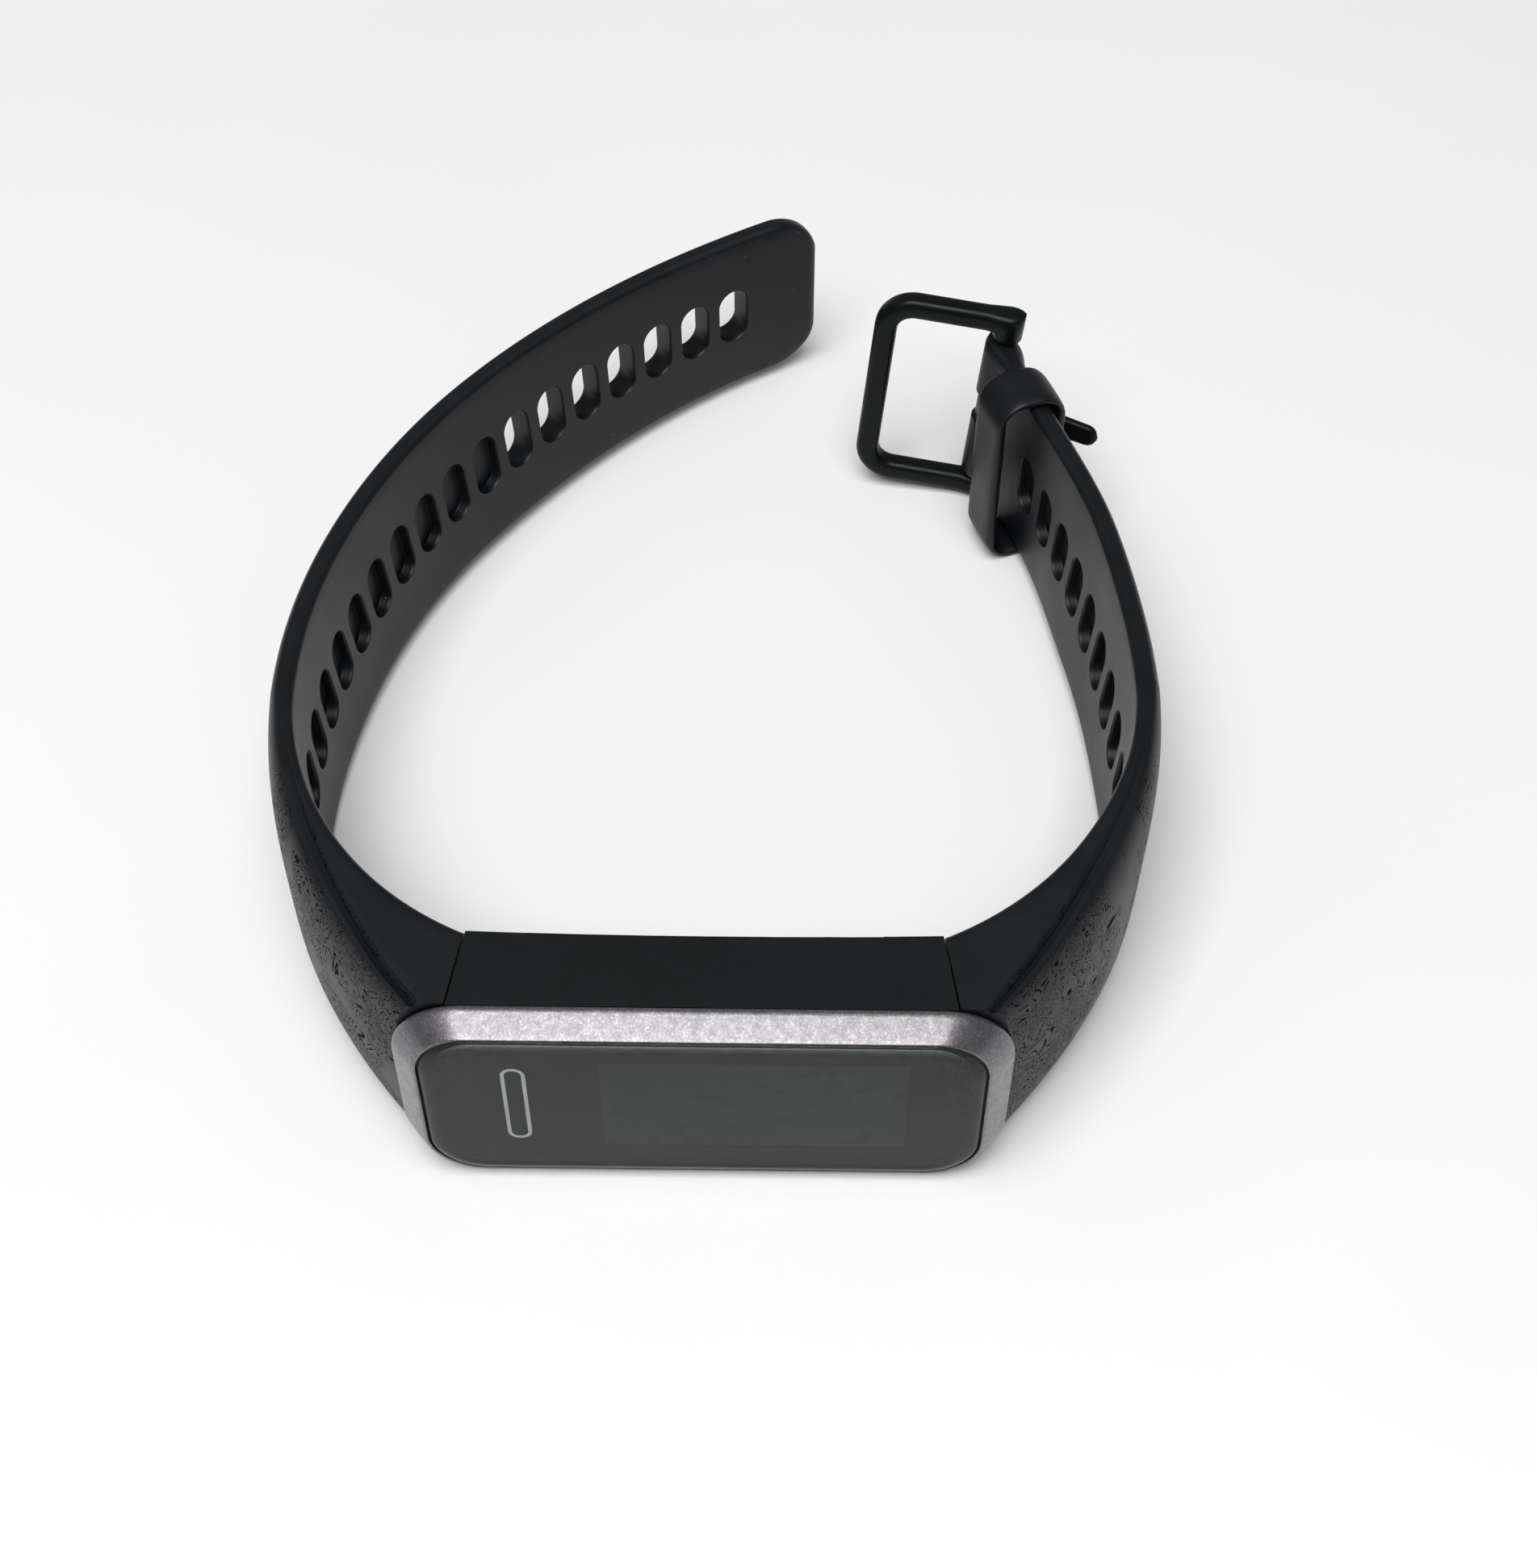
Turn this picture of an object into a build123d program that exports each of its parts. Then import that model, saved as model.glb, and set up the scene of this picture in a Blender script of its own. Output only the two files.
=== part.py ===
"""Fitness tracker band: a slim display body, two pull-off silicone straps, a keeper loop and a tang buckle.

Frame: X along the body (the buckle strap leaves at +X), Y from the glass to the wrist, Z across the band.
The band lies on its side, so the lower side face of the housing is the plane Z = 0.
The origin is the centre of that face.  Millimetres.
"""

from build123d import *
import math
import os

os.makedirs("parts", exist_ok=True)


# ---------------------------------------------------------------- overall sizes
body_width = 18.5
body_mid = body_width / 2
housing_depth = 6.4
split_half_top = 17.7
split_half_wrist = 16.8
housing_wall = 1.2
wrist_edge_hollow = 0.25
side_edge_round = 0.3

bezel_length = 43.8
bezel_corner = 5.2
bezel_band = 0.35
bezel_rise = 2.15
bezel_rim_land = 0.2
display_length = 21.7
display_width = 10.85
display_centre_x = 3.6

glass_length = 39.7
glass_width = 16.6
glass_thick = 1.0
glass_corner = 3.9
glass_edge_round = 0.45
glass_gap = 0.1
glass_proud = 0.3
adhesive_thick = 0.15
seat_width = 1.2
under_glass_depth = 0.95

key_length = 9.2
key_width = 1.75
key_line = 0.3
key_x = -13.3
key_print_thick = 0.08

hump_length = 27.0
hump_width = 14.6
hump_top_length = 21.0
hump_top_width = 11.0
hump_corner = 5.0
hump_height = 2.6
hump_edge_round = 0.8
cover_wall = 1.0
cover_plate = 1.0
cover_gap = 0.05
seal_thick = 0.4
seal_width = 0.7
ledge_thick = 0.5
ledge_width = 0.8

tongue_reach = 4.2
tongue_width = 10.0
tongue_thick = 2.6
tongue_y = 0.3
tongue_round = 0.5
tongue_gap = 0.1
core_wall = 0.8

strap_thick = 2.4
strap_joint_gap = 0.12
strap_end_width = 16.6
taper_from_y = 9.0
taper_to_y = 42.0
strap_edge_round = 0.7
tip_corner = 4.6
slot_width = 2.9
slot_length = 5.6
slot_pitch = 4.2
blind_depth = 1.0
through_slots = 7
long_slots = 18
short_slots = 9
long_first_slot = 9.0
short_first_slot = 9.5

# Inner face of each strap in plan: start heading, then tangent arcs of (radius, turn in degrees).
long_heading = 155.3
long_arcs = ((25.1, -64.6), (56.0, -36.0), (80.4, -27.97))
short_heading = 25.8
short_arcs = ((26.3, 65.9), (100.0, 23.0))

bar_radius = 0.75
bar_bore = 0.55
bar_swage = 0.35
bar_swage_bore = 0.49
pin_radius = 0.45
pin_flange_radius = 0.52
pin_flange_thick = 0.6
pin_reach = 1.2
pin_gap = 0.05
coil_wire = 0.1
coil_wire_flats = 6
coil_radius = 0.34
coil_turns = 12
lug_radius = 1.75
lug_gap = 0.04

frame_width = 20.4
frame_low = 0.15
buckle_lean = 5.5
frame_bar = 2.0
frame_reach = 10.5
frame_corner = 3.5
frame_heading = 172.0
frame_edge_round = 0.55
ear_radius = 1.3
lug_side_gap = 0.3

tang_width = 2.4
tang_thick = 1.1
tang_reach = 8.6
tang_heading = -22.5
tang_ring_wall = 0.7
tang_gap = 0.03
tang_slot_gap = 0.3
tang_slot_back = 3.3

keeper_width = 18.4
keeper_wall = 1.1
keeper_side_wall = 0.8
keeper_length = 4.6
keeper_back = 4.3
keeper_outer_gap = 0.12
keeper_layers = 2
keeper_slack = -0.35
keeper_corner = 2.4
keeper_inner_corner = 0.9
keeper_edge_round = 0.5

board_thick = 0.8
board_length = 30.4
board_width = 14.6
board_y = -1.2
chassis_thick = 0.6
chassis_inset = 0.15
panel_thick = 0.8
panel_border_x = 1.5
panel_border_z = 1.1
backlight_thick = 0.8
battery_size = (18.0, 3.3, 11.0)
battery_corner = 2.0
battery_edge_round = 0.4
battery_x = 1.6
motor_radius = 3.5
motor_thick = 2.0
motor_edge_round = 0.25
motor_x = -11.4
sensor_board_size = (13.0, 0.4, 7.6)
window_length = 12.0
window_width = 7.4
window_proud = 0.15
window_edge_round = 0.3
contact_x = 14.1
contact_spacing = 6.0
contact_radius = 0.8
contact_stem_radius = 0.45
flex_thick = 0.15
small_gap = 0.05
assembly_gap = 0.15
cut_over = 1.0
plate_corner = 0.3
board_corner = 0.8
pin_chamfer = 0.12

# ---------------------------------------------------------------- levels that follow from the sizes
split_top_y = -housing_depth / 2
split_wrist_y = housing_depth / 2
bezel_front_y = split_top_y - bezel_band - bezel_rise
glass_front_y = bezel_front_y - glass_proud
glass_back_y = glass_front_y + glass_thick
seat_y = glass_back_y + adhesive_thick
bezel_floor_y = seat_y + under_glass_depth
cavity_half_z = body_mid - housing_wall
ledge_y = split_wrist_y - wrist_edge_hollow - cover_plate - seal_thick - ledge_thick
seal_y = ledge_y + ledge_thick
plate_y = seal_y + seal_thick
plate_face_y = plate_y + cover_plate
hump_face_y = plate_face_y + hump_height
battery_y = board_y + board_thick + assembly_gap


def level(y):
    """Plane facing the glass at height y, with sketch axes X and Z."""
    return Plane.XZ.offset(-y)


def half_length(y):
    """Half the housing's length at height y, where its slanted end faces lie."""
    share = (y - split_top_y) / housing_depth
    return split_half_top + share * (split_half_wrist - split_half_top)


def walk(start, heading, arcs, distance):
    """Point and heading reached after a distance along a chain of tangent arcs."""
    x, y = start
    left = distance
    for radius, turn in arcs:
        length = radius * math.radians(abs(turn))
        step = min(left, length)
        sign = math.copysign(1, turn)
        before = math.radians(heading)
        heading += sign * math.degrees(step / radius)
        after = math.radians(heading)
        x += sign * radius * (math.sin(after) - math.sin(before))
        y -= sign * radius * (math.cos(after) - math.cos(before))
        left -= step
    x += left * math.cos(math.radians(heading))
    y += left * math.sin(math.radians(heading))
    return (x, y), heading


def arcs_length(arcs):
    """Length of a chain of arcs."""
    return sum(radius * math.radians(abs(turn)) for radius, turn in arcs)


def unit(heading):
    """Unit vector in plan for a heading in degrees."""
    return Vector(math.cos(math.radians(heading)), math.sin(math.radians(heading)), 0)


def save(builder, name):
    """Label a finished part and write it out."""
    builder.part.label = name
    export_step(builder.part, f"parts/{name}.step")


# ================================================================ body: housing
with BuildPart() as main_housing:
    with BuildSketch():
        with BuildLine():
            Polyline(
                (split_half_wrist, split_wrist_y),
                (split_half_top, split_top_y),
                (-split_half_top, split_top_y),
                (-split_half_wrist, split_wrist_y),
            )
            ThreePointArc(
                (-split_half_wrist, split_wrist_y),
                (0, split_wrist_y - wrist_edge_hollow),
                (split_half_wrist, split_wrist_y),
            )
        make_face()
    extrude(amount=body_width)
    wrist_edges = main_housing.edges().filter_by(GeomType.CIRCLE)
    fillet(wrist_edges, side_edge_round)
    for low, high, inset in (
        (split_top_y - cut_over, ledge_y, housing_wall),
        (ledge_y, seal_y, housing_wall + ledge_width),
        (seal_y, split_wrist_y + cut_over, housing_wall),
    ):
        with BuildSketch(Plane.XY.offset(inset)):
            with BuildLine():
                Polyline(
                    (half_length(low) - inset, low),
                    (half_length(high) - inset, high),
                    (-half_length(high) + inset, high),
                    (-half_length(low) + inset, low),
                    close=True,
                )
            make_face()
        extrude(amount=body_width - 2 * inset, mode=Mode.SUBTRACT)
    tongue_root = split_half_wrist - housing_wall / 2
    tongue_tip = split_half_wrist + (split_half_top - split_half_wrist) / 2 + tongue_reach
    for side in (-1, 1):
        with BuildSketch(Plane.YZ.offset(side * tongue_root)):
            with Locations((tongue_y, body_mid)):
                RectangleRounded(tongue_thick, tongue_width, tongue_round)
        extrude(amount=side * (tongue_tip - tongue_root))
save(main_housing, "main_housing")

# ================================================================ body: bezel and glass
seat_length = glass_length + 2 * glass_gap
seat_breadth = glass_width + 2 * glass_gap
rim_length = seat_length + 2 * bezel_rim_land
rim_breadth = seat_breadth + 2 * bezel_rim_land
opening_half = split_half_top - housing_wall

with BuildPart() as bezel:
    with BuildSketch(level(split_top_y)):
        with Locations((0, body_mid)):
            RectangleRounded(bezel_length, body_width, bezel_corner)
    extrude(amount=bezel_band)
    with BuildSketch(level(split_top_y - bezel_band)):
        with Locations((0, body_mid)):
            RectangleRounded(bezel_length, body_width, bezel_corner)
    with BuildSketch(level(bezel_front_y)):
        with Locations((0, body_mid)):
            RectangleRounded(rim_length, rim_breadth, glass_corner + glass_gap + bezel_rim_land)
    loft()
    with BuildSketch(level(seat_y)):
        with Locations((0, body_mid)):
            RectangleRounded(seat_length, seat_breadth, glass_corner + glass_gap)
    extrude(amount=bezel_rise, mode=Mode.SUBTRACT)
    with BuildSketch(level(bezel_floor_y)):
        with Locations((0, body_mid)):
            RectangleRounded(
                seat_length - 2 * seat_width,
                seat_breadth - 2 * seat_width,
                glass_corner - seat_width,
            )
    extrude(amount=under_glass_depth, mode=Mode.SUBTRACT)
    with BuildSketch(level(split_top_y)):
        with Locations((0, body_mid)):
            Rectangle(2 * opening_half, seat_breadth - 2 * seat_width)
    extrude(amount=split_top_y - bezel_floor_y, mode=Mode.SUBTRACT)
save(bezel, "bezel")

with BuildPart() as cover_glass:
    with BuildSketch(level(glass_back_y)):
        with Locations((0, body_mid)):
            RectangleRounded(glass_length, glass_width, glass_corner)
    extrude(amount=glass_thick)
    front_edges = cover_glass.faces().sort_by(Axis.Y)[0].edges()
    fillet(front_edges, glass_edge_round)
save(cover_glass, "cover_glass")

with BuildPart() as glass_adhesive:
    with BuildSketch(level(seat_y)):
        with Locations((0, body_mid)):
            RectangleRounded(seat_length - 2 * glass_gap, seat_breadth - 2 * glass_gap, glass_corner)
            RectangleRounded(
                seat_length - 2 * seat_width,
                seat_breadth - 2 * seat_width,
                glass_corner - seat_width,
                mode=Mode.SUBTRACT,
            )
    extrude(amount=adhesive_thick)
save(glass_adhesive, "glass_adhesive")

# ================================================================ touch key
with BuildPart() as touch_key_ring:
    with BuildSketch(level(glass_back_y + key_print_thick)):
        with Locations((key_x, body_mid)):
            SlotOverall(key_length, key_width, rotation=90)
            SlotOverall(key_length - 2 * key_line, key_width - 2 * key_line, rotation=90, mode=Mode.SUBTRACT)
    extrude(amount=key_print_thick)
save(touch_key_ring, "touch_key_ring")

pad_thick = 0.12
pad_margin = 0.8
pad_y = glass_back_y + key_print_thick
with BuildPart() as touch_key_pad:
    with BuildSketch(level(pad_y + pad_thick)):
        with Locations((key_x, body_mid)):
            RectangleRounded(key_width + 2 * pad_margin, key_length + 2 * pad_margin, pad_margin)
    extrude(amount=pad_thick)
save(touch_key_pad, "touch_key_pad")

foam_width = 2.0
foam_length = 5.0
foam_gap = 0.3
foam_corner = 0.4
foam_y = pad_y + pad_thick
with BuildPart() as touch_key_foam:
    with BuildSketch(level(board_y)):
        with Locations((key_x, body_mid)):
            RectangleRounded(foam_width, foam_length, foam_corner)
    extrude(amount=board_y - foam_y)
save(touch_key_foam, "touch_key_foam")

# ================================================================ display
panel_y = glass_back_y + small_gap
panel_length = display_length + 2 * panel_border_x
panel_width = display_width + 2 * panel_border_z
panel_round = 0.5
with BuildPart() as display_panel:
    with BuildSketch(level(panel_y + panel_thick)):
        with Locations((display_centre_x, body_mid)):
            RectangleRounded(panel_length, panel_width, panel_round)
    extrude(amount=panel_thick)
save(display_panel, "display_panel")

backlight_y = panel_y + panel_thick
backlight_inset = 0.3
with BuildPart() as display_backlight:
    with BuildSketch(level(backlight_y + backlight_thick)):
        with Locations((display_centre_x, body_mid)):
            RectangleRounded(
                panel_length - 2 * backlight_inset,
                panel_width - 2 * backlight_inset,
                panel_round,
            )
    extrude(amount=backlight_thick)
save(display_backlight, "display_backlight")

flex_width = 7.0
flex_bulge = 0.9
flex_x = display_centre_x - panel_length / 2 - flex_bulge
with BuildPart() as display_flex:
    with BuildSketch(Plane.XY.offset(body_mid - flex_width / 2)):
        with BuildLine():
            Polyline(
                (display_centre_x - panel_length / 2, backlight_y - panel_thick / 2),
                (flex_x, backlight_y - panel_thick / 2),
                (flex_x, board_y),
                (flex_x + flex_thick, board_y),
                (flex_x + flex_thick, backlight_y - panel_thick / 2 + flex_thick),
                (display_centre_x - panel_length / 2, backlight_y - panel_thick / 2 + flex_thick),
                close=True,
            )
        make_face()
    extrude(amount=flex_width)
save(display_flex, "display_flex")

# ================================================================ chassis and board
chassis_y = split_top_y + chassis_inset
chassis_half = half_length(chassis_y) - housing_wall - chassis_inset
chassis_half_z = cavity_half_z - chassis_inset
post_radius = 0.9
post_hole = 0.35
post_x = 14.0
post_z = 6.2
flex_slot = 1.4
with BuildPart() as mid_chassis:
    with BuildSketch(level(chassis_y + chassis_thick)):
        with Locations((0, body_mid)):
            RectangleRounded(2 * chassis_half, 2 * chassis_half_z, board_corner)
        with Locations((flex_x, body_mid)):
            Rectangle(flex_slot, flex_width + flex_slot, mode=Mode.SUBTRACT)
        with Locations((key_x, body_mid)):
            Rectangle(foam_width + 2 * foam_gap, foam_length + 2 * foam_gap, mode=Mode.SUBTRACT)
    extrude(amount=chassis_thick)
    with BuildSketch(level(board_y)):
        with Locations((0, body_mid)):
            with GridLocations(2 * post_x, 2 * post_z, 2, 2):
                Circle(post_radius)
    extrude(amount=board_y - chassis_y - chassis_thick)
    with BuildSketch(level(board_y)):
        with Locations((0, body_mid)):
            with GridLocations(2 * post_x, 2 * post_z, 2, 2):
                Circle(post_hole)
    extrude(amount=board_y - chassis_y, mode=Mode.SUBTRACT)
save(mid_chassis, "mid_chassis")

screw_head_radius = 0.75
screw_head = 0.4
screw_clearance = 0.1
screw_length = 1.5
with BuildPart() as main_board:
    with BuildSketch(level(board_y + board_thick)):
        with Locations((0, body_mid)):
            RectangleRounded(board_length, board_width, board_corner)
            with GridLocations(2 * post_x, 2 * post_z, 2, 2):
                Circle(post_hole + screw_clearance, mode=Mode.SUBTRACT)
    extrude(amount=board_thick)
save(main_board, "main_board")

with BuildPart() as board_screws:
    with BuildSketch(level(board_y + board_thick + screw_head)):
        with Locations((0, body_mid)):
            with GridLocations(2 * post_x, 2 * post_z, 2, 2):
                Circle(screw_head_radius)
    extrude(amount=screw_head)
    with BuildSketch(level(board_y + board_thick)):
        with Locations((0, body_mid)):
            with GridLocations(2 * post_x, 2 * post_z, 2, 2):
                Circle(post_hole)
    extrude(amount=screw_length)
save(board_screws, "board_screws")

# Chips on the display side of the board: x, z from the middle, length, width, height.
chip_layout = (
    (-2.6, -2.6, 5.0, 5.0, 0.8),
    (-2.9, 3.6, 4.0, 3.0, 0.6),
    (-1.2, 6.0, 2.0, 1.2, 0.5),
    (8.2, -5.2, 3.0, 2.0, 0.6),
    (8.4, 5.2, 2.5, 2.5, 0.6),
    (-10.2, -5.6, 2.4, 1.6, 0.5),
    (-10.4, 5.4, 2.0, 2.0, 0.6),
)
with BuildPart() as board_chips:
    for chip_x, chip_z, chip_length, chip_width, chip_height in chip_layout:
        with BuildSketch(level(board_y)):
            with Locations((chip_x, body_mid + chip_z)):
                Rectangle(chip_length, chip_width)
        extrude(amount=chip_height)
save(board_chips, "board_chips")

shield_length = 6.4
shield_width = 7.0
shield_height = 0.95
shield_wall = 0.15
shield_x = 8.2
shield_corner = 0.4
with BuildPart() as shield_can:
    with BuildSketch(level(board_y)):
        with Locations((shield_x, body_mid)):
            RectangleRounded(shield_length, shield_width, shield_corner)
    extrude(amount=shield_height)
    with BuildSketch(level(board_y)):
        with Locations((shield_x, body_mid)):
            Rectangle(shield_length - 2 * shield_wall, shield_width - 2 * shield_wall)
    extrude(amount=shield_height - shield_wall, mode=Mode.SUBTRACT)
save(shield_can, "shield_can")

antenna_length = 7.0
antenna_width = 1.6
antenna_height = 0.8
with BuildPart() as antenna:
    with BuildSketch(level(board_y)):
        with Locations((board_length / 2 - antenna_width, body_mid)):
            Rectangle(antenna_width, antenna_length)
    extrude(amount=antenna_height)
save(antenna, "antenna")

# ================================================================ battery and motor
battery_length, battery_thick, battery_width = battery_size
with BuildPart() as battery:
    with BuildSketch(level(battery_y + battery_thick)):
        with Locations((battery_x, body_mid)):
            RectangleRounded(battery_length, battery_width, battery_corner)
    extrude(amount=battery_thick)
    fillet(battery.faces().sort_by(Axis.Y)[-1].edges(), battery_edge_round)
save(battery, "battery")

lead_radius = 0.22
lead_out = 1.2
lead_spacing = 1.3
lead_z = body_mid - 4.6
lead_drop = 1.2
lead_bend = 0.5
battery_end_x = battery_x + battery_length / 2
with BuildPart() as battery_leads:
    for lead in range(2):
        lead_height = lead_z + lead * lead_spacing
        with BuildLine(Plane.XY.offset(lead_height)) as lead_path:
            bend = FilletPolyline(
                (battery_end_x, battery_y + lead_drop),
                (battery_end_x + lead_out, battery_y + lead_drop),
                (battery_end_x + lead_out, board_y + board_thick),
                radius=lead_bend,
            )
        with BuildSketch(Plane(origin=bend @ 0, z_dir=bend % 0)):
            Circle(lead_radius)
        sweep(path=lead_path.line)
save(battery_leads, "battery_leads")

motor_y = board_y + board_thick + assembly_gap
with BuildPart() as vibration_motor:
    with BuildSketch(level(motor_y + motor_thick)):
        with Locations((motor_x, body_mid)):
            Circle(motor_radius)
    extrude(amount=motor_thick)
    fillet(vibration_motor.edges().filter_by(GeomType.CIRCLE), motor_edge_round)
save(vibration_motor, "vibration_motor")

# ================================================================ wrist side
plate_half = half_length(plate_face_y) - housing_wall - cover_gap
plate_half_z = cavity_half_z - cover_gap
hump_wall_top = hump_face_y - cover_wall
with BuildPart() as bottom_cover:
    with BuildSketch(level(plate_face_y)):
        with Locations((0, body_mid)):
            RectangleRounded(2 * plate_half, 2 * plate_half_z, plate_corner)
    extrude(amount=cover_plate)
    with BuildSketch(level(plate_face_y)):
        with Locations((0, body_mid)):
            RectangleRounded(hump_length, hump_width, hump_corner)
    with BuildSketch(level(hump_face_y)):
        with Locations((0, body_mid)):
            RectangleRounded(hump_top_length, hump_top_width, hump_corner - cover_wall)
    loft()
    fillet(bottom_cover.faces().sort_by(Axis.Y)[-1].edges(), hump_edge_round)
    with BuildSketch(level(plate_y)):
        with Locations((0, body_mid)):
            RectangleRounded(
                hump_length - 2 * cover_wall,
                hump_width - 2 * cover_wall,
                hump_corner - cover_wall,
            )
    with BuildSketch(level(hump_wall_top)):
        with Locations((0, body_mid)):
            RectangleRounded(
                hump_top_length - cover_wall,
                hump_top_width - cover_wall,
                hump_corner - 2 * cover_wall,
            )
    loft(mode=Mode.SUBTRACT)
    with BuildSketch(level(hump_face_y + cut_over)):
        with Locations((0, body_mid)):
            SlotOverall(window_length + 2 * cover_gap, window_width + 2 * cover_gap)
    extrude(amount=cover_wall + 2 * cut_over, mode=Mode.SUBTRACT)
    with BuildSketch(level(plate_face_y + cut_over)):
        with Locations((contact_x, body_mid)):
            with GridLocations(0, contact_spacing, 1, 2):
                Circle(contact_radius)
    extrude(amount=cover_plate + 2 * cut_over, mode=Mode.SUBTRACT)
save(bottom_cover, "bottom_cover")

with BuildPart() as cover_seal:
    with BuildSketch(level(plate_y)):
        with Locations((0, body_mid)):
            RectangleRounded(2 * plate_half, 2 * plate_half_z, plate_corner)
            RectangleRounded(
                2 * (plate_half - seal_width),
                2 * (plate_half_z - seal_width),
                plate_corner,
                mode=Mode.SUBTRACT,
            )
    extrude(amount=seal_thick)
save(cover_seal, "cover_seal")

with BuildPart() as sensor_window:
    with BuildSketch(level(hump_face_y + window_proud)):
        with Locations((0, body_mid)):
            SlotOverall(window_length, window_width)
    extrude(amount=cover_wall + window_proud)
    fillet(sensor_window.faces().sort_by(Axis.Y)[-1].edges(), window_edge_round)
save(sensor_window, "sensor_window")

sensor_length, sensor_thick, sensor_width = sensor_board_size
barrier_height = 0.8
sensor_face_y = hump_wall_top - barrier_height
with BuildPart() as sensor_board:
    with BuildSketch(level(sensor_face_y)):
        with Locations((0, body_mid)):
            RectangleRounded(sensor_length, sensor_width, board_corner)
    extrude(amount=sensor_thick)
save(sensor_board, "sensor_board")

led_size = 1.6
led_corner = 0.2
led_height = 0.5
led_offset = 3.6
with BuildPart() as sensor_leds:
    with BuildSketch(level(sensor_face_y + led_height)):
        with Locations((0, body_mid)):
            with GridLocations(2 * led_offset, 0, 2, 1):
                RectangleRounded(led_size, led_size, led_corner)
    extrude(amount=led_height)
save(sensor_leds, "sensor_leds")

diode_length = 2.4
diode_width = 2.8
diode_height = 0.4
with BuildPart() as sensor_photodiode:
    with BuildSketch(level(sensor_face_y + diode_height)):
        with Locations((0, body_mid)):
            Rectangle(diode_length, diode_width)
    extrude(amount=diode_height)
save(sensor_photodiode, "sensor_photodiode")

barrier_inset = 0.3
barrier_rim = 1.0
barrier_cell = 2.6
barrier_middle = 3.6
with BuildPart() as light_barrier:
    with BuildSketch(level(hump_wall_top)):
        with Locations((0, body_mid)):
            SlotOverall(window_length - 2 * barrier_inset, window_width - 2 * barrier_inset)
            Rectangle(barrier_middle, window_width - 2 * barrier_rim, mode=Mode.SUBTRACT)
            with GridLocations(2 * led_offset, 0, 2, 1):
                Rectangle(barrier_cell, window_width - 3 * barrier_rim, mode=Mode.SUBTRACT)
    extrude(amount=barrier_height)
save(light_barrier, "light_barrier")

sensor_flex_width = 3.4
sensor_flex_gap = 0.1
flex_riser = 1.0
flex_end_x = sensor_length / 2 - flex_riser
flex_down_x = battery_end_x + sensor_flex_gap
flex_under_y = battery_y + battery_thick + sensor_flex_gap
sensor_back_y = sensor_face_y - sensor_thick
with BuildPart() as sensor_flex:
    with BuildSketch(Plane.XY.offset(body_mid - sensor_flex_width / 2)):
        with BuildLine():
            Polyline(
                (flex_down_x, board_y + board_thick),
                (flex_down_x, flex_under_y),
                (flex_end_x - flex_riser, flex_under_y),
                (flex_end_x - flex_riser, sensor_back_y),
                (flex_end_x, sensor_back_y),
                (flex_end_x, flex_under_y + flex_thick),
                (flex_down_x + flex_thick, flex_under_y + flex_thick),
                (flex_down_x + flex_thick, board_y + board_thick),
                close=True,
            )
        make_face()
    extrude(amount=sensor_flex_width)
save(sensor_flex, "sensor_flex")

contact_head = 0.5
contact_gap = 0.02
with BuildPart() as charge_contacts:
    with BuildSketch(level(plate_face_y + small_gap)):
        with Locations((contact_x, body_mid)):
            with GridLocations(0, contact_spacing, 1, 2):
                Circle(contact_radius - contact_gap)
    extrude(amount=cover_plate)
    with BuildSketch(level(plate_y + contact_head)):
        with Locations((contact_x, body_mid)):
            with GridLocations(0, contact_spacing, 1, 2):
                Circle(contact_stem_radius)
    extrude(amount=plate_y + contact_head - board_y - board_thick)
save(charge_contacts, "charge_contacts")


# ================================================================ straps
def strap_start(side):
    """Inner corner of a strap's root, on the split line with the housing."""
    return (side * (split_half_wrist + strap_joint_gap), split_wrist_y)


def strap_profile(side, heading, arcs):
    """Plan of one strap: inner arcs, a thickened root under the bezel and an even outer face."""
    outward = 90 if side < 0 else -90
    top_corner = (side * (split_half_top + strap_joint_gap), split_top_y + strap_joint_gap)
    root_outer = (side * (bezel_length / 2 - strap_joint_gap), split_top_y + strap_joint_gap)
    (first_radius, first_turn), later = arcs[0], arcs[1:]
    with BuildSketch() as profile:
        with BuildLine():
            inner = JernArc(strap_start(side), unit(heading), first_radius, first_turn)
            thick_point = (inner @ 1) + unit(heading + first_turn + outward) * strap_thick
            TangentArc(thick_point, root_outer, tangent=-(inner % 1))
            outer_at = thick_point
            for radius, turn in later:
                outer = JernArc(outer_at, inner % 1, radius + strap_thick, turn)
                inner = JernArc(inner @ 1, inner % 1, radius, turn)
                outer_at = outer @ 1
            Line(inner @ 1, outer_at)
            Polyline(root_outer, top_corner, strap_start(side))
        make_face()
    return profile.sketch


def width_profile():
    """Side outline that narrows a strap from the housing's width to its end width."""
    far_y = 110
    near_y = -10
    inset = (body_width - strap_end_width) / 2
    with BuildSketch(Plane.YZ) as outline:
        with BuildLine():
            Line((near_y, 0), (taper_from_y, 0))
            Spline((taper_from_y, 0), (taper_to_y, inset), tangents=((1, 0), (1, 0)))
            Line((taper_to_y, inset), (far_y, inset))
            Line((far_y, inset), (far_y, body_width - inset))
            Line((far_y, body_width - inset), (taper_to_y, body_width - inset))
            Spline((taper_to_y, body_width - inset), (taper_from_y, body_width), tangents=((-1, 0), (-1, 0)))
            Line((taper_from_y, body_width), (near_y, body_width))
            Line((near_y, body_width), (near_y, 0))
        make_face()
    return outline.sketch


def slot_planes(side, heading, arcs, first, count):
    """One sketch plane per slot on the inner face, facing into the loop, with its long way along Z."""
    total = arcs_length(arcs)
    planes = []
    for index in range(count):
        point, local = walk(strap_start(side), heading, arcs, total - first - index * slot_pitch)
        inward = local - 90 if side < 0 else local + 90
        planes.append(Plane(origin=(*point, body_mid), x_dir=(0, 0, 1), z_dir=unit(inward)))
    return planes


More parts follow.
